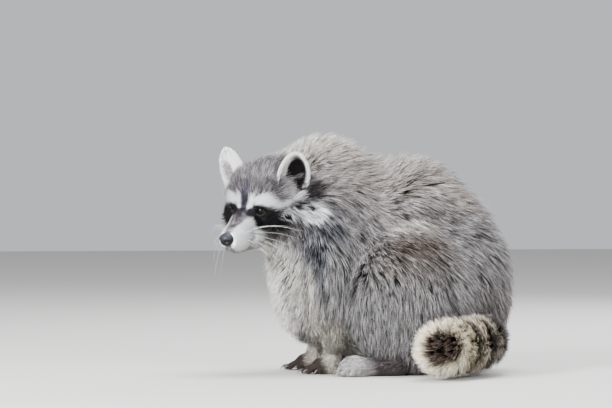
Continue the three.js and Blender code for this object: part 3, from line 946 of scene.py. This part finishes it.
def tailShell():
    # the tail's core, a tube closed at its tip, with the length at each of its points
    tip = tailLong - 4 + 14 * np.sin(np.linspace(0, 1.5, 10))
    s = np.concatenate([np.linspace(2, tailLong - 5, 60), tip])
    angle = np.linspace(0, 2 * np.pi, 32, endpoint=False)
    sGrid, aGrid = np.meshgrid(s, angle, indexing="ij")
    verts = tailPlace(sGrid, aGrid, np.maximum(tailInner(sGrid), 0.4))[0].reshape(-1, 3)
    lengths = np.concatenate([sGrid.ravel(), [2.0, tailLong + 10]])
    return withEnds(verts, len(angle)), closedFaces(len(s), len(angle)), lengths


print("skin: ears, feet and tail")
earParts = {s: earShell(s) for s in (1, -1)}
footParts = {(kind, s): footShell(kind, s) for kind in feet for s in (1, -1)}
tailVerts, tailTris, tailS = tailShell()


def earTones(p, s):
    # painted shade deep in the cup towards its outer side, pale round it, greyer low on its back; the lit far
    # ear keeps only a small grey centre
    x, y, z = inEar(p, s) / vec(ear["wide"], 1, ear["tall"])[:, None]
    r = np.minimum(np.hypot(x, z), 1)
    within = ease((y + cupDepth(r) - 0.8) / 0.8)
    aside, wide, tall, dark = ear["dark"][s]
    deep = within * ease((1.08 - np.hypot((x * s - aside) / wide, (z + 0.02) / tall)) / 0.3)
    low = (1 - within) * ease((-z - 0.1) / 0.5)
    return dyed(dyed(toLinear("#e4e3e0"), "#57514f", low), dark, deep)


def footTones(p, kind, s):
    atHeel, atToes, start, over = feet[kind]["tones"]
    return dyed(toLinear(atHeel), atToes, ease((alongFoot(p, kind, s) - start) / over))


def buildSkin():
    tone = tonesAt(bodyVerts)
    colour = dyed(mix(tone[0], tone[1], 0.55), "#1c1716", lipShare * mouth["dark"])
    for s in (1, -1):
        # bare dark lids, and painted shade where the head shows in the mouth of an ear
        far = np.linalg.norm(bodyVerts - eyeCentre(s), axis=1)
        colour = dyed(colour, "#060505", ease((eyes["radius"] + 2.6 - far) / 1.5))
        colour = dyed(colour, "#121011", ease((1.15 - earMouth(bodyVerts, s, 9)) / 0.25))
    colour = dyed(colour, "#6b6560", lowerRim * 0.12)
    verts, tris, tones = [bodyVerts], [bodyTris], [colour]
    extra = [(v, t, earTones(v, s)) for s, (v, t) in earParts.items()]
    extra += [(v, t, footTones(v, kind, s)) for (kind, s), (v, t) in footParts.items()]
    extra.append((tailVerts, tailTris, ringTones(tailS + 25, np.zeros(len(tailS)))[0]))
    start = len(bodyVerts)
    for v, t, c in extra:
        verts.append(v)
        tris.append(t + start)
        tones.append(c)
        start += len(v)
    verts, tris, tones = (np.concatenate(v) for v in (verts, tris, tones))
    skin = addMesh("skin", verts, tris, furHide, tones)
    flesh = [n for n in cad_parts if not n.startswith(("eye_", "nose", "claw_"))]
    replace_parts(skin, *flesh)


buildSkin()


def roundShell(rows, around):
    # angles over a ball, from its front pole to its back one and round, and its triangles
    polar = np.linspace(0, np.pi, rows + 2)[1:-1]
    turnBy = np.linspace(0, 2 * np.pi, around, endpoint=False)
    p, a = (g.ravel() for g in np.meshgrid(polar, turnBy, indexing="ij"))
    return np.append(p, [0, np.pi]), np.append(a, [0, 0]), closedFaces(rows, around)[:, ::-1]


# angles from the eyeball's axis are in radians
eyeball = {"looks": (0.42, 0.93, 0.2), "inset": 0.35, "cornea": 0.35, "pupilEdge": 0.38, "irisEdge": 0.58,
           "pupil": "#020202", "iris": "#160d08", "white": "#060404"}


def buildEye(name, s):
    # a ball with a slightly raised cornea; pupil, iris and dark white go by the angle from its axis
    polar, turnBy, tris = roundShell(40, 48)
    ahead = headwardOn(s, eyeball["looks"])
    side = unit(np.cross(ahead, vec(0, 0, 1)))
    up = np.cross(side, ahead)
    r = eyes["radius"] - eyeball["inset"] + eyeball["cornea"] * np.exp(-(polar / 0.55) ** 4)
    out = (np.cos(polar)[:, None] * ahead + (np.sin(polar) * np.cos(turnBy))[:, None] * side
           + (np.sin(polar) * np.sin(turnBy))[:, None] * up)
    verts = eyeCentre(s) + out * r[:, None]
    colour = dyed(toLinear(eyeball["pupil"]), eyeball["iris"], ease((polar - eyeball["pupilEdge"]) / 0.08))
    colour = dyed(colour, eyeball["white"], ease((polar - eyeball["irisEdge"]) / 0.12))
    eye = addMesh(name, verts, tris, eyeWet, colour)
    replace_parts(eye, "eye_left" if s > 0 else "eye_right")


# a nostril is dug by three overlapping pits, each (l, f, u, width, depth) from the nose's centre
nose = {"centre": vec(0, 42.5, -24), "radii": vec(10.3, 9.2, 9.1), "deepest": 3.6, "furFree": 9.5,
        "nostril": ((4.2, 7.4, -1.3, 2.0, 3.3), (6.7, 5.3, -1.7, 1.6, 2.7), (8.3, 3.2, -1.3, 1.2, 1.9))}


def buildNose():
    # a leather pad: a wide ball, flattened on top, with two comma-shaped nostrils and a groove under them
    polar, turnBy, tris = roundShell(56, 72)
    wide, long, tall = nose["radii"]
    l = wide * np.sin(polar) * np.cos(turnBy)
    f = long * np.cos(polar)
    u = tall * np.sin(polar) * np.sin(turnBy)
    u = np.where(u > 0, u * (0.92 - 0.0006 * l * l), u * (1 - 0.0012 * l * l))
    p = np.stack([l, f, u], 1)
    normal = unit(p / nose["radii"] ** 2)
    dig = np.zeros(len(p))
    for s in (1, -1):
        for a, b, c, width, deep in nose["nostril"]:
            dig = dig + deep * np.exp(-(((p - vec(s * a, b, c)) ** 2).sum(1)) / width ** 2)
    dig = dig + np.exp(-(l / 0.7) ** 2) * ease((-u + 1) / 3) * (f > 0)
    p = p - normal * np.minimum(dig, nose["deepest"])[:, None]
    verts = np.stack([inHead(*q) for q in p + nose["centre"]])
    # the top is painted lighter and bluish: a painted sheen on the dark leather
    colour = dyed(toLinear("#09090a"), "#272a30", ease((u - 0.5) / 5))
    # the nostrils and the groove under them are darker by their depth: painted shade in the pits
    colour = dyed(colour, "#020202", np.clip(dig / 2, 0, 1))
    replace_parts(addMesh("noseTip", verts, tris, noseLeather, colour), "nose")


def tubes(lines, radii, sides):
    # joined closed tubes: lines is (n, steps, 3), radii is (n, steps)
    n, steps, _ = lines.shape
    way = unit(np.gradient(lines, axis=1))
    first = unit(np.cross(way, vec(0.13, 0.21, 0.97)))
    second = np.cross(way, first)
    angle = np.linspace(0, 2 * np.pi, sides, endpoint=False)
    ring = (first[:, :, None] * np.cos(angle)[:, None] + second[:, :, None] * np.sin(angle)[:, None])
    verts = lines[:, :, None] + ring * radii[:, :, None, None]
    fan = np.array([[0, m + 1, m] for m in range(1, sides - 1)])
    tris = np.concatenate([ringFaces(steps, sides), fan, fan[:, ::-1] + (steps - 1) * sides])
    tris = (tris[None] + (np.arange(n) * steps * sides)[:, None, None]).reshape(-1, 3)
    return verts.reshape(-1, 3), tris


def bent(a, b, c, steps):
    # a curve through three points by their quadratic
    t = np.linspace(0, 1, steps)[:, None]
    return a * (1 - t) * (1 - 2 * t) + b * 4 * t * (1 - t) + c * t * (2 * t - 1)


claw = {"steps": 9, "sides": 10, "radius": 1.7, "tip": 0.2, "root": "#2a2422", "end": "#6f645a"}


def buildClaws():
    lines, names = [], []
    for kind, node in (("fore", "forepaw"), ("hind", "hindfoot")):
        for s, side in ((1, "left"), (-1, "right")):
            for i, (_, points) in enumerate(toeLines(kind, s)):
                lines.append(bent(*points, claw["steps"]))
                names.append(f"claw_{node}_{side}_{i + 1}")
    t = np.linspace(0, 1, claw["steps"])
    radii = np.tile(claw["radius"] * (1 - t ** 1.6) + claw["tip"], (len(lines), 1))
    verts, tris = tubes(np.array(lines), radii, claw["sides"])
    t = np.tile(np.repeat(t, claw["sides"]), len(lines))
    colour = dyed(toLinear(claw["root"]), claw["end"], ease(t * 1.1 - 0.2))
    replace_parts(addMesh("claws", verts, tris, clawHorn, colour), *names)


whisker = {"rows": 3, "perRow": 4, "overEye": 3, "long": (40, 68), "droop": (6, 20), "sweep": (4, 14),
           "steps": 12, "radius": 0.08, "tip": 0.04, "colour": "#e6e2da", "boxMargin": 1.5}


def buildWhiskers():
    # stiff curved hairs: rows of them on each side of the upper lip, and a few above each eye
    lines = []
    foremost = boxLow[1] + whisker["boxMargin"]
    for s in (1, -1):
        for row in range(whisker["rows"]):
            for i in range(whisker["perRow"]):
                root = inHead(s * (14.5 + 1.0 * i), 28 - 5.2 * i + row, -22 - 4.2 * row + 0.6 * i)
                jitter = rng.normal(0, 0.16, 3)
                way = headward(s * (0.8 + jitter[0]), 0.1 - 0.28 * i + jitter[1],
                               0.15 - 0.34 * row + jitter[2])
                long = rng.uniform(*whisker["long"]) + 3 * i
                droop = (vec(0, 0, -1) * rng.uniform(*whisker["droop"])
                         + headward(0, -1, 0) * rng.uniform(*whisker["sweep"]))
                tip = root + way * long + droop
                half = root + way * long * 0.5
                # one that would reach past the front of the box bends back there
                tip[1] = max(tip[1], foremost)
                if tip[1] < root[1]:
                    half[1] = max(half[1], root[1] + 0.75 * (tip[1] - root[1]))
                lines.append(bent(root, half, tip, whisker["steps"]))
        for i in range(whisker["overEye"]):
            root = inHead(s * (18 + 3 * i), -5, 9)
            way = headward(s * (0.35 + 0.2 * i), 0.15, 0.9)
            tip = root + way * 21 + headward(0, -1, 0) * 7
            lines.append(bent(root, root + way * 11, tip, whisker["steps"]))
    thin = whisker["radius"] * (1 - np.linspace(0, 1, whisker["steps"])) ** 0.7 + whisker["tip"]
    verts, tris = tubes(np.array(lines), np.tile(thin, (len(lines), 1)), 4)
    addMesh("whiskers", verts, tris, whiskerHair, evenTone(whisker["colour"], len(verts)))


buildEye("eyeLeft", 1)
buildEye("eyeRight", -1)
buildNose()
buildClaws()
buildWhiskers()


# pairs are a gap between roots or a tuft's radius: the least, and what each mm of depth adds to it
coat = {
    "locks": 15500, "perLock": 4, "guards": 102500, "shortTufts": 64000,
    "spread": 2.9, "clump": 0.45, "drift": 2.6, "wild": 0.15, "stray": 0.15, "lockShade": 0.4,
    "longFrom": 5.5, "shortTo": 11.5, "overlap": 5, "longGap": (2.0, 0.1), "shortGap": (0.34, 0.11),
    "longThick": (0.16, 0.0125), "guardThick": (0.14, 0.008), "shortThick": (0.17, 0.032),
    "brightest": 0.93, "mostFaces": 195000,
}


def scatter(verts, tris, wanted, weight):
    # random points over the faces, as dense as area times weight, in the faces' own order
    a, b, c = (verts[tris[:, k]] for k in range(3))
    flat = np.cross(b - a, c - a)
    area = np.linalg.norm(flat, axis=1) / 2 * weight
    edges = np.cumsum(area) / area.sum()
    at = (np.arange(wanted) + rng.random(wanted)) / wanted
    i = np.minimum(np.searchsorted(edges, at), len(tris) - 1)
    p, q = rng.random((2, wanted))
    over = p + q > 1
    p, q = np.where(over, 1 - p, p), np.where(over, 1 - q, q)
    spot = a[i] + (b - a)[i] * p[:, None] + (c - a)[i] * q[:, None]
    return spot, unit(flat)[i]


def roundAngles(p, axis, start):
    # the angle round an axis and the one from it, both as shares of a whole sheet
    r = np.linalg.norm(p, axis=1)
    about = np.arctan2(p[:, 0], start)
    return np.stack([about / 6.2832 + 0.5, np.arccos(np.clip(p[:, axis] / r, -1, 1)) / 3.1416], 1)


def bakeSpot(p):
    # each root's place on an unwrap of the skin: the head by angles round its own axis on the left
    # half of the sheet, the body by angles round the upright on the right half
    q = headPlace(p) - vec(0, -30, -10)
    b = p - vec(0, -10, 140)
    neck = neckField(p)
    onHead = (headField(p, neck) < bodyField(p, neck))[:, None]
    half = np.array([0.46, 0.96])
    return np.where(onHead, roundAngles(q, 1, q[:, 2]) * half + [0.02, 0.02],
                    roundAngles(b, 2, -b[:, 1]) * half + [0.52, 0.02])


def tuftPieces(name, centres, radii, side, lift, tones, spots):
    # centres is (n, rings + 1, 3): the rings' middles and the tip; each tuft is a three-sided taper
    n, count, _ = centres.shape
    rings = count - 1
    angle = rng.uniform(0, 6.283, n)[:, None] + np.arange(3) * 2.0944
    ring = side[:, None] * np.cos(angle)[..., None] + lift[:, None] * np.sin(angle)[..., None]
    shafts = centres[:, :rings, None] + ring[:, None] * radii[:, :, None, None]
    verts = np.concatenate([shafts.reshape(n, rings * 3, 3), centres[:, rings:]], 1)
    verts = np.clip(verts, boxLow + 0.25, boxHigh - 0.25)
    tones = np.clip(tones, 0, coat["brightest"])
    colour = np.concatenate([np.repeat(tones[:, :rings], 3, axis=1), tones[:, rings:]], 1)
    acrossSheet = np.tile([[-0.0012], [0], [0.0012]], (rings, 1))
    upSheet = np.repeat(np.linspace(-0.0012, 0.0008, rings), 3)[:, None]
    patch = np.concatenate([np.concatenate([acrossSheet, upSheet], 1), [[0, 0.0014]]])
    uv = spots[:, None] + patch
    last = 3 * (rings - 1)
    tipFaces = [[last + m, last + (m + 1) % 3, 3 * rings] for m in range(3)]
    faces = np.concatenate([[[0, 2, 1]], ringFaces(rings, 3), tipFaces])
    parts = int(np.ceil(n / (coat["mostFaces"] // len(faces))))
    for k in range(parts):
        a, b = n * k // parts, n * (k + 1) // parts
        tris = (faces[None] + (np.arange(b - a) * (3 * rings + 1))[:, None, None]).reshape(-1, 3)
        addMesh(f"{name}{k + 1}", verts[a:b].reshape(-1, 3), tris, furHair,
                colour[a:b].reshape(-1, 3), uv[a:b].reshape(-1, 2))


def byDepth(kind, depth):
    least, more = coat[kind]
    return least + more * depth


def paleness(tone):
    return ease((tone.mean(1) - 0.6) / 0.3)


def shades(tones, spread, tipSpread):
    # each tuft is a little lighter or darker than its neighbours, its tip most of all
    n = len(tones[0])
    whole = np.exp(rng.normal(0, spread, n))[:, None]
    tip = np.exp(rng.normal(0, tipSpread, n))[:, None]
    return [tones[0] * whole, tones[1] * whole * tip ** 0.4, np.clip(tones[2] * whole * tip, 0, 0.92)]


def grizzled(tip):
    # about one tuft in five is dark and one in three is pale, but nearly white fur stays even
    gain = rng.choice([0.15, 0.75, 2.2], len(tip), p=[0.22, 0.42, 0.36])
    return mix(gain, 1, paleness(tip) * 0.85) * np.exp(rng.normal(0, 0.12, len(tip)))


def cellShade(p, size):
    # hairs that grow in the same small cell share a tone: a number from -1 to 1 hashed from the cell
    cell = np.floor(p / size + 0.35 * np.stack([ripple(p, 9, k) for k in (1, 2, 3)], 1))
    return 2 * (np.sin(cell @ vec(12.9898, 78.233, 37.719)) * 43758.5453 % 1) - 1


def clearOfFeatures(roots, tips):
    # whether tufts stay off the open eyes and out of the mouths of the ears
    keep = np.ones(len(roots), bool)
    for s in (1, -1):
        centre, ahead, _, _ = eyeAxes(s)
        front = centre + ahead * (eyes["radius"] - 1)
        way = tips - roots
        t = np.clip(((front - roots) * way).sum(1) / np.maximum((way ** 2).sum(1), 1e-6), 0, 1)
        keep &= np.linalg.norm(roots + way * t[:, None] - front, axis=1) > eyes["furFree"]
        keep &= earMouth(roots, s, 7) >= 1
    return keep


def lockPaths(roots, steps=6):
    # each lock runs along the lie of the coat while it climbs from the skin to the tips; also gives the
    # normal at its end and the coat's depth at its root
    depth, lie, lift = combed(roots)
    n = len(roots)
    normal = unit(slopeOf(roots, coatTips))
    turnBy = 0.22 * ripple(roots, 70, 1) + 0.2 * ripple(roots, 26, 2) + rng.normal(0, 0.13, n)
    d = turned(normal, lie, turnBy)
    run = depth / np.tan(np.radians(lift)) * rng.uniform(0.7, 0.95, n)
    climb = depth * rng.uniform(0.82, 0.99, n)
    base = coatTips(roots)
    path = [roots]
    p = roots
    for k in range(1, steps):
        t = k / (steps - 1)
        p = p + d * (run / (steps - 1))[:, None]
        value = coatTips(p)
        slope = slopeOf(p, coatTips, value)
        level = base + climb * (1 - (1 - t) ** 1.7)
        push = (value - level) / np.maximum((slope ** 2).sum(1), 0.2)
        p = p - slope * np.clip(push, -12, 12)[:, None]
        normal = unit(slope)
        newLie = combed(p)[1]
        d = unit(across(normal, d * 0.75 + unit(across(normal, newLie)) * 0.25))
        path.append(p)
    return np.stack(path, 1), normal, depth


def alongPath(path, t):
    # the point a share t along each path, carried on past its end where t is over 1
    steps = path.shape[1] - 1
    i = np.clip((t * steps).astype(int), 0, steps - 1)
    f = (t * steps - i)[:, None]
    n = np.arange(len(path))
    return path[n, i] * (1 - f) + path[n, i + 1] * f


def withinOutline(p, most):
    # draws points that stand further out than the most back along the slope, and keeps them in the box
    over = coatTips(p)
    p = p - unit(slopeOf(p, coatTips, over)) * np.maximum(over - most, 0)[:, None]
    return np.clip(p, boxLow + 0.4, boxHigh - 0.4)


def buildLongCoat():
    # the long coat grows in locks: a few curved tufts to a lock, and straight guard hairs over them
    depth = combed(bodyVerts[bodyTris].mean(1))[0]
    share = ease((depth - coat["longFrom"]) / coat["overlap"])
    roots, _ = scatter(bodyVerts, bodyTris, coat["locks"], share / byDepth("longGap", depth) ** 2)
    paths, normals, depths = lockPaths(roots)
    keep = clearOfFeatures(roots, paths[:, 3])
    roots, paths, normals, depths = roots[keep], paths[keep], normals[keep], depths[keep]
    lockShade = np.exp(rng.normal(0, coat["lockShade"], len(roots)))
    lockShade = lockShade ** (1 - 0.7 * paleness(tonesAt(roots)[2]))

    def lockTufts(name, which, starts, ends, rings, thick, standOff, gain):
        path, normal, depth = paths[which], normals[which], depths[which]
        n = len(which)
        way = unit(path[:, 1] - path[:, 0])
        side = unit(np.cross(way, normal))
        spread = coat["spread"] * (0.55 + 0.02 * depth)
        offset = side * (rng.normal(0, 0.6, n) * spread)[:, None]
        offset = offset + way * (rng.normal(0, 0.8, n) * spread)[:, None]
        wild = rng.random(n) < coat["wild"]
        drift = side * (rng.normal(0, coat["drift"], n) * depth / 24)[:, None]
        centres = []
        for k in range(rings + 1):
            t = starts + (ends - starts) * k / rings
            gather = 1 - coat["clump"] * (1 - wild * 1.6) * np.clip(t, 0, 1) ** 1.4
            lifted = normal * (standOff * (k / rings) ** 2)[:, None]
            gathered = alongPath(path, t) + offset * gather[:, None]
            centres.append(gathered + drift * (t ** 1.5)[:, None] + lifted)
        centres = np.stack(centres, 1)
        for k in range(1, rings + 1):
            centres[:, k] = withinOutline(centres[:, k], -0.5 + standOff * (k == rings))
        radii = np.stack([thick * (1 - 0.15 * k) for k in range(rings)], 1)
        radii = radii * rng.uniform(0.75, 1.2, n)[:, None]
        tones = tonesAt(alongPath(path, np.clip(starts + (ends - starts) * 0.7, 0, 1)))
        shade = (lockShade[which] * np.exp(rng.normal(0, 0.12, n)))[:, None]
        rooted = [mix(tones[0], tones[1], np.clip(starts * 1.5, 0, 1)[:, None])] + [tones[1]] * (rings - 1)
        tip = tones[2] * (grizzled(tones[2]) if rings == 1 else gain)[:, None]
        tone = np.stack([c * shade for c in rooted + [tip]], 1)
        tuftPieces(name, centres, radii, side, unit(np.cross(side, way)), tone, bakeSpot(path[:, 0]))

    which = np.repeat(np.arange(len(roots)), coat["perLock"])
    n = len(which)
    lockTufts("coatLong", which, np.zeros(n), rng.uniform(0.6, 0.98, n), 2,
              byDepth("longThick", depths[which]), np.zeros(n), np.exp(rng.normal(-0.05, 0.22, n)))
    which = np.sort(rng.integers(0, len(roots), coat["guards"]))
    n = len(which)
    starts = rng.uniform(0.25, 0.62, n)
    stray = (rng.random(n) < coat["stray"]) * rng.uniform(0, 1, n)
    ends = starts + rng.uniform(0.32, 0.5, n) + 0.12 * stray
    standOff = rng.exponential(0.7, n) + stray * 0.22 * depths[which]
    lockTufts("coatGuard", which, starts, ends, 1, byDepth("guardThick", depths[which]), standOff, None)


def shortTufts(name, roots, normal, lie, depth, lift, tones, spots):
    # straight little tufts: one ring and a tip
    n = len(roots)
    d = turned(normal, lie, rng.normal(0, 0.16, n) + 0.15 * ripple(roots, 16, 4))
    climb = depth * rng.uniform(0.7, 1.0, n)
    run = depth / np.tan(np.radians(lift)) * rng.uniform(0.75, 1.05, n)
    tip = roots + d * run[:, None] + normal * climb[:, None]
    centres = np.stack([roots - normal * 0.25, tip], 1)
    radii = (byDepth("shortThick", depth) * rng.uniform(0.75, 1.25, n))[:, None]
    calm = 1 - 0.75 * paleness(tones[2])
    gain = (grizzled(tones[2]) * np.exp(0.85 * calm * cellShade(roots, 2.6)))[:, None]
    tones = shades([tones[0], tones[1] * gain ** 0.5, tones[2] * gain], 0.08, 0.1)
    tones = np.stack([mix(tones[0], tones[1], 0.6), tones[2]], 1)
    tuftPieces(name, centres, radii, np.cross(d, normal), normal, tones, spots)


def buildShortCoat():
    depth = combed(bodyVerts[bodyTris].mean(1))[0]
    share = ease((coat["shortTo"] - depth) / coat["overlap"])
    roots, _ = scatter(bodyVerts, bodyTris, coat["shortTufts"], share / byDepth("shortGap", depth) ** 2)
    normal = unit(slopeOf(roots, coatTips))
    depth, lie, lift = combed(roots)
    keep = clearOfFeatures(roots, roots + lie * (depth / np.tan(np.radians(lift)))[:, None])
    keep &= np.linalg.norm(headPlace(roots) - nose["centre"], axis=1) > nose["furFree"]
    keep &= mouthLine(roots) < 0.35
    roots, normal, depth, lie, lift = (v[keep] for v in (roots, normal, depth, lie, lift))
    tones = tonesAt(roots + lie * depth[:, None])
    shortTufts("coatShort", roots, normal, lie, depth, lift, tones, bakeSpot(roots))


def buildTailCoat():
    # brushy locks that lean back along the tail and stand out all round its end
    n, tip = tail["locks"], tail["tip"]
    onEnd = rng.random(n) < tail["onEnd"]
    polar = np.where(onEnd, np.arccos(rng.random(n)), np.pi / 2)
    tipS = np.where(onEnd, tailLong + tip * np.cos(polar), rng.uniform(tailLong * 0.3, tailLong, n))
    angle = rng.uniform(0, 2 * np.pi, n)
    lockTurn = rng.normal(0, 0.1, n)
    onEnd, polar, tipS, angle, lockTurn = (
        np.repeat(v, tail["perLock"]) for v in (onEnd, polar, tipS, angle, lockTurn))
    n = len(tipS)
    long = rng.uniform(0.8, 1.0, n)
    polar = polar + onEnd * rng.normal(0, 0.06, n)
    tipS = np.where(onEnd, tailLong + tip * np.cos(polar), tipS + rng.normal(0, 2.6, n))
    rootS = np.where(onEnd, tailLong + 2 - (tail["run"] + 2) * np.sin(polar), tipS - tail["run"] * long)
    rootAngle = angle + rng.normal(0, 0.12, n)
    outer = np.where(onEnd, tailOuter(np.full(n, tailLong)) * np.abs(np.sin(polar)), tailOuter(tipS))
    inner = np.minimum(tailInner(rootS), outer * 0.4 + 2)
    centres = []
    for t in (0.0, 0.5, 1.0):
        r = inner + (outer * long * 0.98 - inner) * (1 - (1 - t) ** 1.6)
        here = rootS + (tipS - rootS) * (t * mix(1, 0.9 + 0.1 * long, onEnd))
        around = mix(rootAngle, angle, t) + lockTurn * t + rng.normal(0, 0.03, n) * t + 0.25 * onEnd * t
        centres.append(tailPlace(np.minimum(here, tailLong + tip - 1), around, np.maximum(r, 0.3))[0])
    centres = np.stack(centres, 1)
    way, out = tailPlace(rootS, angle, np.ones(n))[1:]
    radii = np.stack([np.full(n, 0.5), np.full(n, 0.4)], 1) * rng.uniform(0.75, 1.25, n)[:, None]
    wobble = ripple(np.stack([angle * 14, tipS * 0.3, tipS * 0], 1), 9, 2) + rng.normal(0, 0.6, n)
    facing = unit(centres[:, 2] - tailLine[-1]) @ unit(vec(0.97, -0.24, 0.03))
    tones = ringTones(np.where(onEnd, tailLong + np.maximum(tip * facing, 0), tipS), wobble)
    tones[2] = tones[2] * grizzled(tones[2])[:, None] ** 0.6
    tones = np.stack(shades(tones, 0.14, 0.15), 1)
    spots = np.stack([(angle / 6.2832) % 1 * 0.94 + 0.03, rootS / (tailLong + 60) * 0.94 + 0.03], 1)
    tuftPieces("coatTail", centres, radii, np.cross(way, out), out, tones, spots)


def buildEarCoat():
    sets = []
    for s, (verts, tris) in earParts.items():
        turn, _ = earFrame(s)
        p, normal = scatter(verts, tris, ear["tufts"], np.ones(len(tris)))
        x, _, z = inEar(p, s)
        r = np.hypot(x / ear["wide"], z / ear["tall"])
        back = ease((0.2 - (normal @ turn[:, 1])) / 0.3)
        lie = unit(np.stack([x, np.zeros(len(x)), z + 14], 1)) @ turn.T
        sets.append((p, normal, lie, mix(1.2 + 1.5 * r, 2.6 - 0.4 * r, back),
                     earTones(p, s) * mix(1.0, 1.08, back)[:, None]))
    roots, normals, lies, depths, tone = (np.concatenate(v) for v in zip(*sets))
    shortTufts("coatEars", roots, normals, lies, depths, np.full(len(roots), 22.0),
               [tone * 0.8, tone, np.clip(tone * 1.25, 0, 0.92)], bakeSpot(roots))


def buildEarFringe():
    # long pale hairs that grow from the inner front edge of each ear across its mouth
    n = ear["fringe"]
    sets = []
    for s in (1, -1):
        turn, centre = earFrame(s)
        a = rng.uniform(-1.75, 1.3, n)
        r = rng.uniform(0.62, 0.99, n)
        x, z = -s * ear["wide"] * r * np.cos(a), ear["tall"] * r * np.sin(a)
        root = np.stack([x, -cupDepth(r) + ear["wall"] + 0.4, z], 1)
        way = np.stack([-x * 0.4 + rng.normal(0, 2, n), np.full(n, 5.0), rng.normal(7, 3, n)], 1)
        way = unit(way) * rng.uniform(6, 13, n)[:, None]
        sets.append((root @ turn.T + centre, (root + way) @ turn.T + centre,
                     np.tile(turn[:, 0], (n, 1)), np.tile(turn[:, 1], (n, 1))))
    root, tip, side, lift = (np.concatenate(v) for v in zip(*sets))
    tone = np.stack([evenTone(c, len(root)) for c in ("#b5b1a9", "#edeae4")], 1)
    tone = tone * rng.uniform(0.6, 1.0, len(root))[:, None, None]
    radii = np.full((len(root), 1), 0.3)
    tuftPieces("coatEarFringe", np.stack([root, tip], 1), radii, side, lift, tone, bakeSpot(root))


def buildFootCoat():
    for (kind, s), (verts, tris) in footParts.items():
        place, _ = footPlan(kind, s)
        p, normal = scatter(verts, tris, feet[kind]["tufts"], np.ones(len(tris)))
        keep = (normal[:, 2] > -0.35) & (p[:, 2] > 1.2)
        p, normal = p[keep], normal[keep]
        f = alongFoot(p, kind, s)
        lie = np.tile(place(0, 1, -0.25) - place(0, 0, 0), (len(p), 1))
        if kind == "fore":
            lie = mix(np.tile(vec(0, -0.2, -1), (len(p), 1)), lie, ease((f + 2) / 10)[:, None])
        atHeel, atToes, start, over = feet[kind]["hair"]
        depth = mix(atHeel, atToes, ease((f - start) / over))
        tone = footTones(p, kind, s)
        side = "Left" if s > 0 else "Right"
        spots = (p[:, :2] - p[:, :2].min(0)) / [80, 130] * 0.9 + 0.03
        shortTufts(f"coat{kind.title()}{side}", p, normal, lie, depth, np.full(len(p), 17.0),
                   [tone * 0.75, tone, np.clip(tone * 1.3, 0, 0.9)], spots)


buildLongCoat()
buildShortCoat()
buildTailCoat()
buildEarCoat()
buildEarFringe()
buildFootCoat()


daylight = (0.97, 0.985, 1)
# name: (place, aim, size in metres, watts, tint)
lamps = {
    "key": ((1.75, -2.05, 1.25), (0, -0.05, 0.15), 0.9, 190, daylight),
    "top": ((-0.2, 0.3, 2.4), (0, 0, 0.15), 1.4, 95, daylight),
    "fill": ((2.35, 1.0, 0.95), (0, -0.05, 0.15), 1.5, 80, daylight),
    "catch": ((1.89, -1.6, 0.66), (0.02, -0.15, 0.21), 0.45, 45, daylight),
    "rim": ((-1.6, 1.2, 1.2), (0, 0, 0.2), 1.0, 30, (0.92, 0.96, 1)),
}
studio = {"floorHalf": 6.0, "floor": "#c4c1bd", "roughness": 0.85, "sky": "#dfe3e8", "skyStrength": 0.85}


def aimed(item, place, way):
    item.location = place
    item.rotation_euler = mathutils.Vector(way).to_track_quat("-Z", "Y").to_euler()


def buildStage():
    half = studio["floorHalf"]
    mesh = bpy.data.meshes.new("floor")
    corners = [(-half, -half, 0), (half, -half, 0), (half, half, 0), (-half, half, 0)]
    mesh.from_pydata(corners, [], [(0, 1, 2, 3)])
    material, _, _ = newMaterial("paleFloor", {
        "Base Color": (*toLinear(studio["floor"]), 1), "Roughness": studio["roughness"]})
    mesh.materials.append(material)
    floor = addObject("floor", mesh)
    world = bpy.data.worlds.new("studio")
    world.use_nodes = True
    light = world.node_tree.nodes["Background"].inputs
    light["Color"].default_value = (*toLinear(studio["sky"]), 1)
    light["Strength"].default_value = studio["skyStrength"]
    bpy.context.scene.world = world
    for name, (place, aim, size, watts, tint) in lamps.items():
        lamp = bpy.data.lights.new(name, "AREA")
        lamp.shape, lamp.size, lamp.energy, lamp.color = "DISK", size, watts, tint
        aimed(addObject(name, lamp), place, mathutils.Vector(aim) - mathutils.Vector(place))


view = {"azimuth": 80, "elevation": 3.5, "distance": 4500, "mmPerPixel": 1.3, "left": 94, "up": 167}


def buildCamera():
    # the viewer's place, and a look at the middle of the frame, to the left of and above the body's foot
    a, e = np.radians([view["azimuth"], view["elevation"]])
    back = vec(np.sin(a) * np.cos(e), -np.cos(a) * np.cos(e), np.sin(e))
    right = vec(np.cos(a), np.sin(a), 0)
    up = np.cross(back, right)
    eye = back * view["distance"]
    aim = (-right * view["left"] + up * view["up"]) * view["mmPerPixel"]
    camera = bpy.data.cameras.new("camera")
    camera.sensor_width = 36
    camera.lens = 36 * view["distance"] / (612 * view["mmPerPixel"])
    camera.clip_end = 50
    item = addObject("camera", camera)
    aimed(item, (eye - middle) / 1000, aim - eye)
    bpy.context.scene.camera = item


buildStage()
buildCamera()
print("stage: floor, lamps and camera")
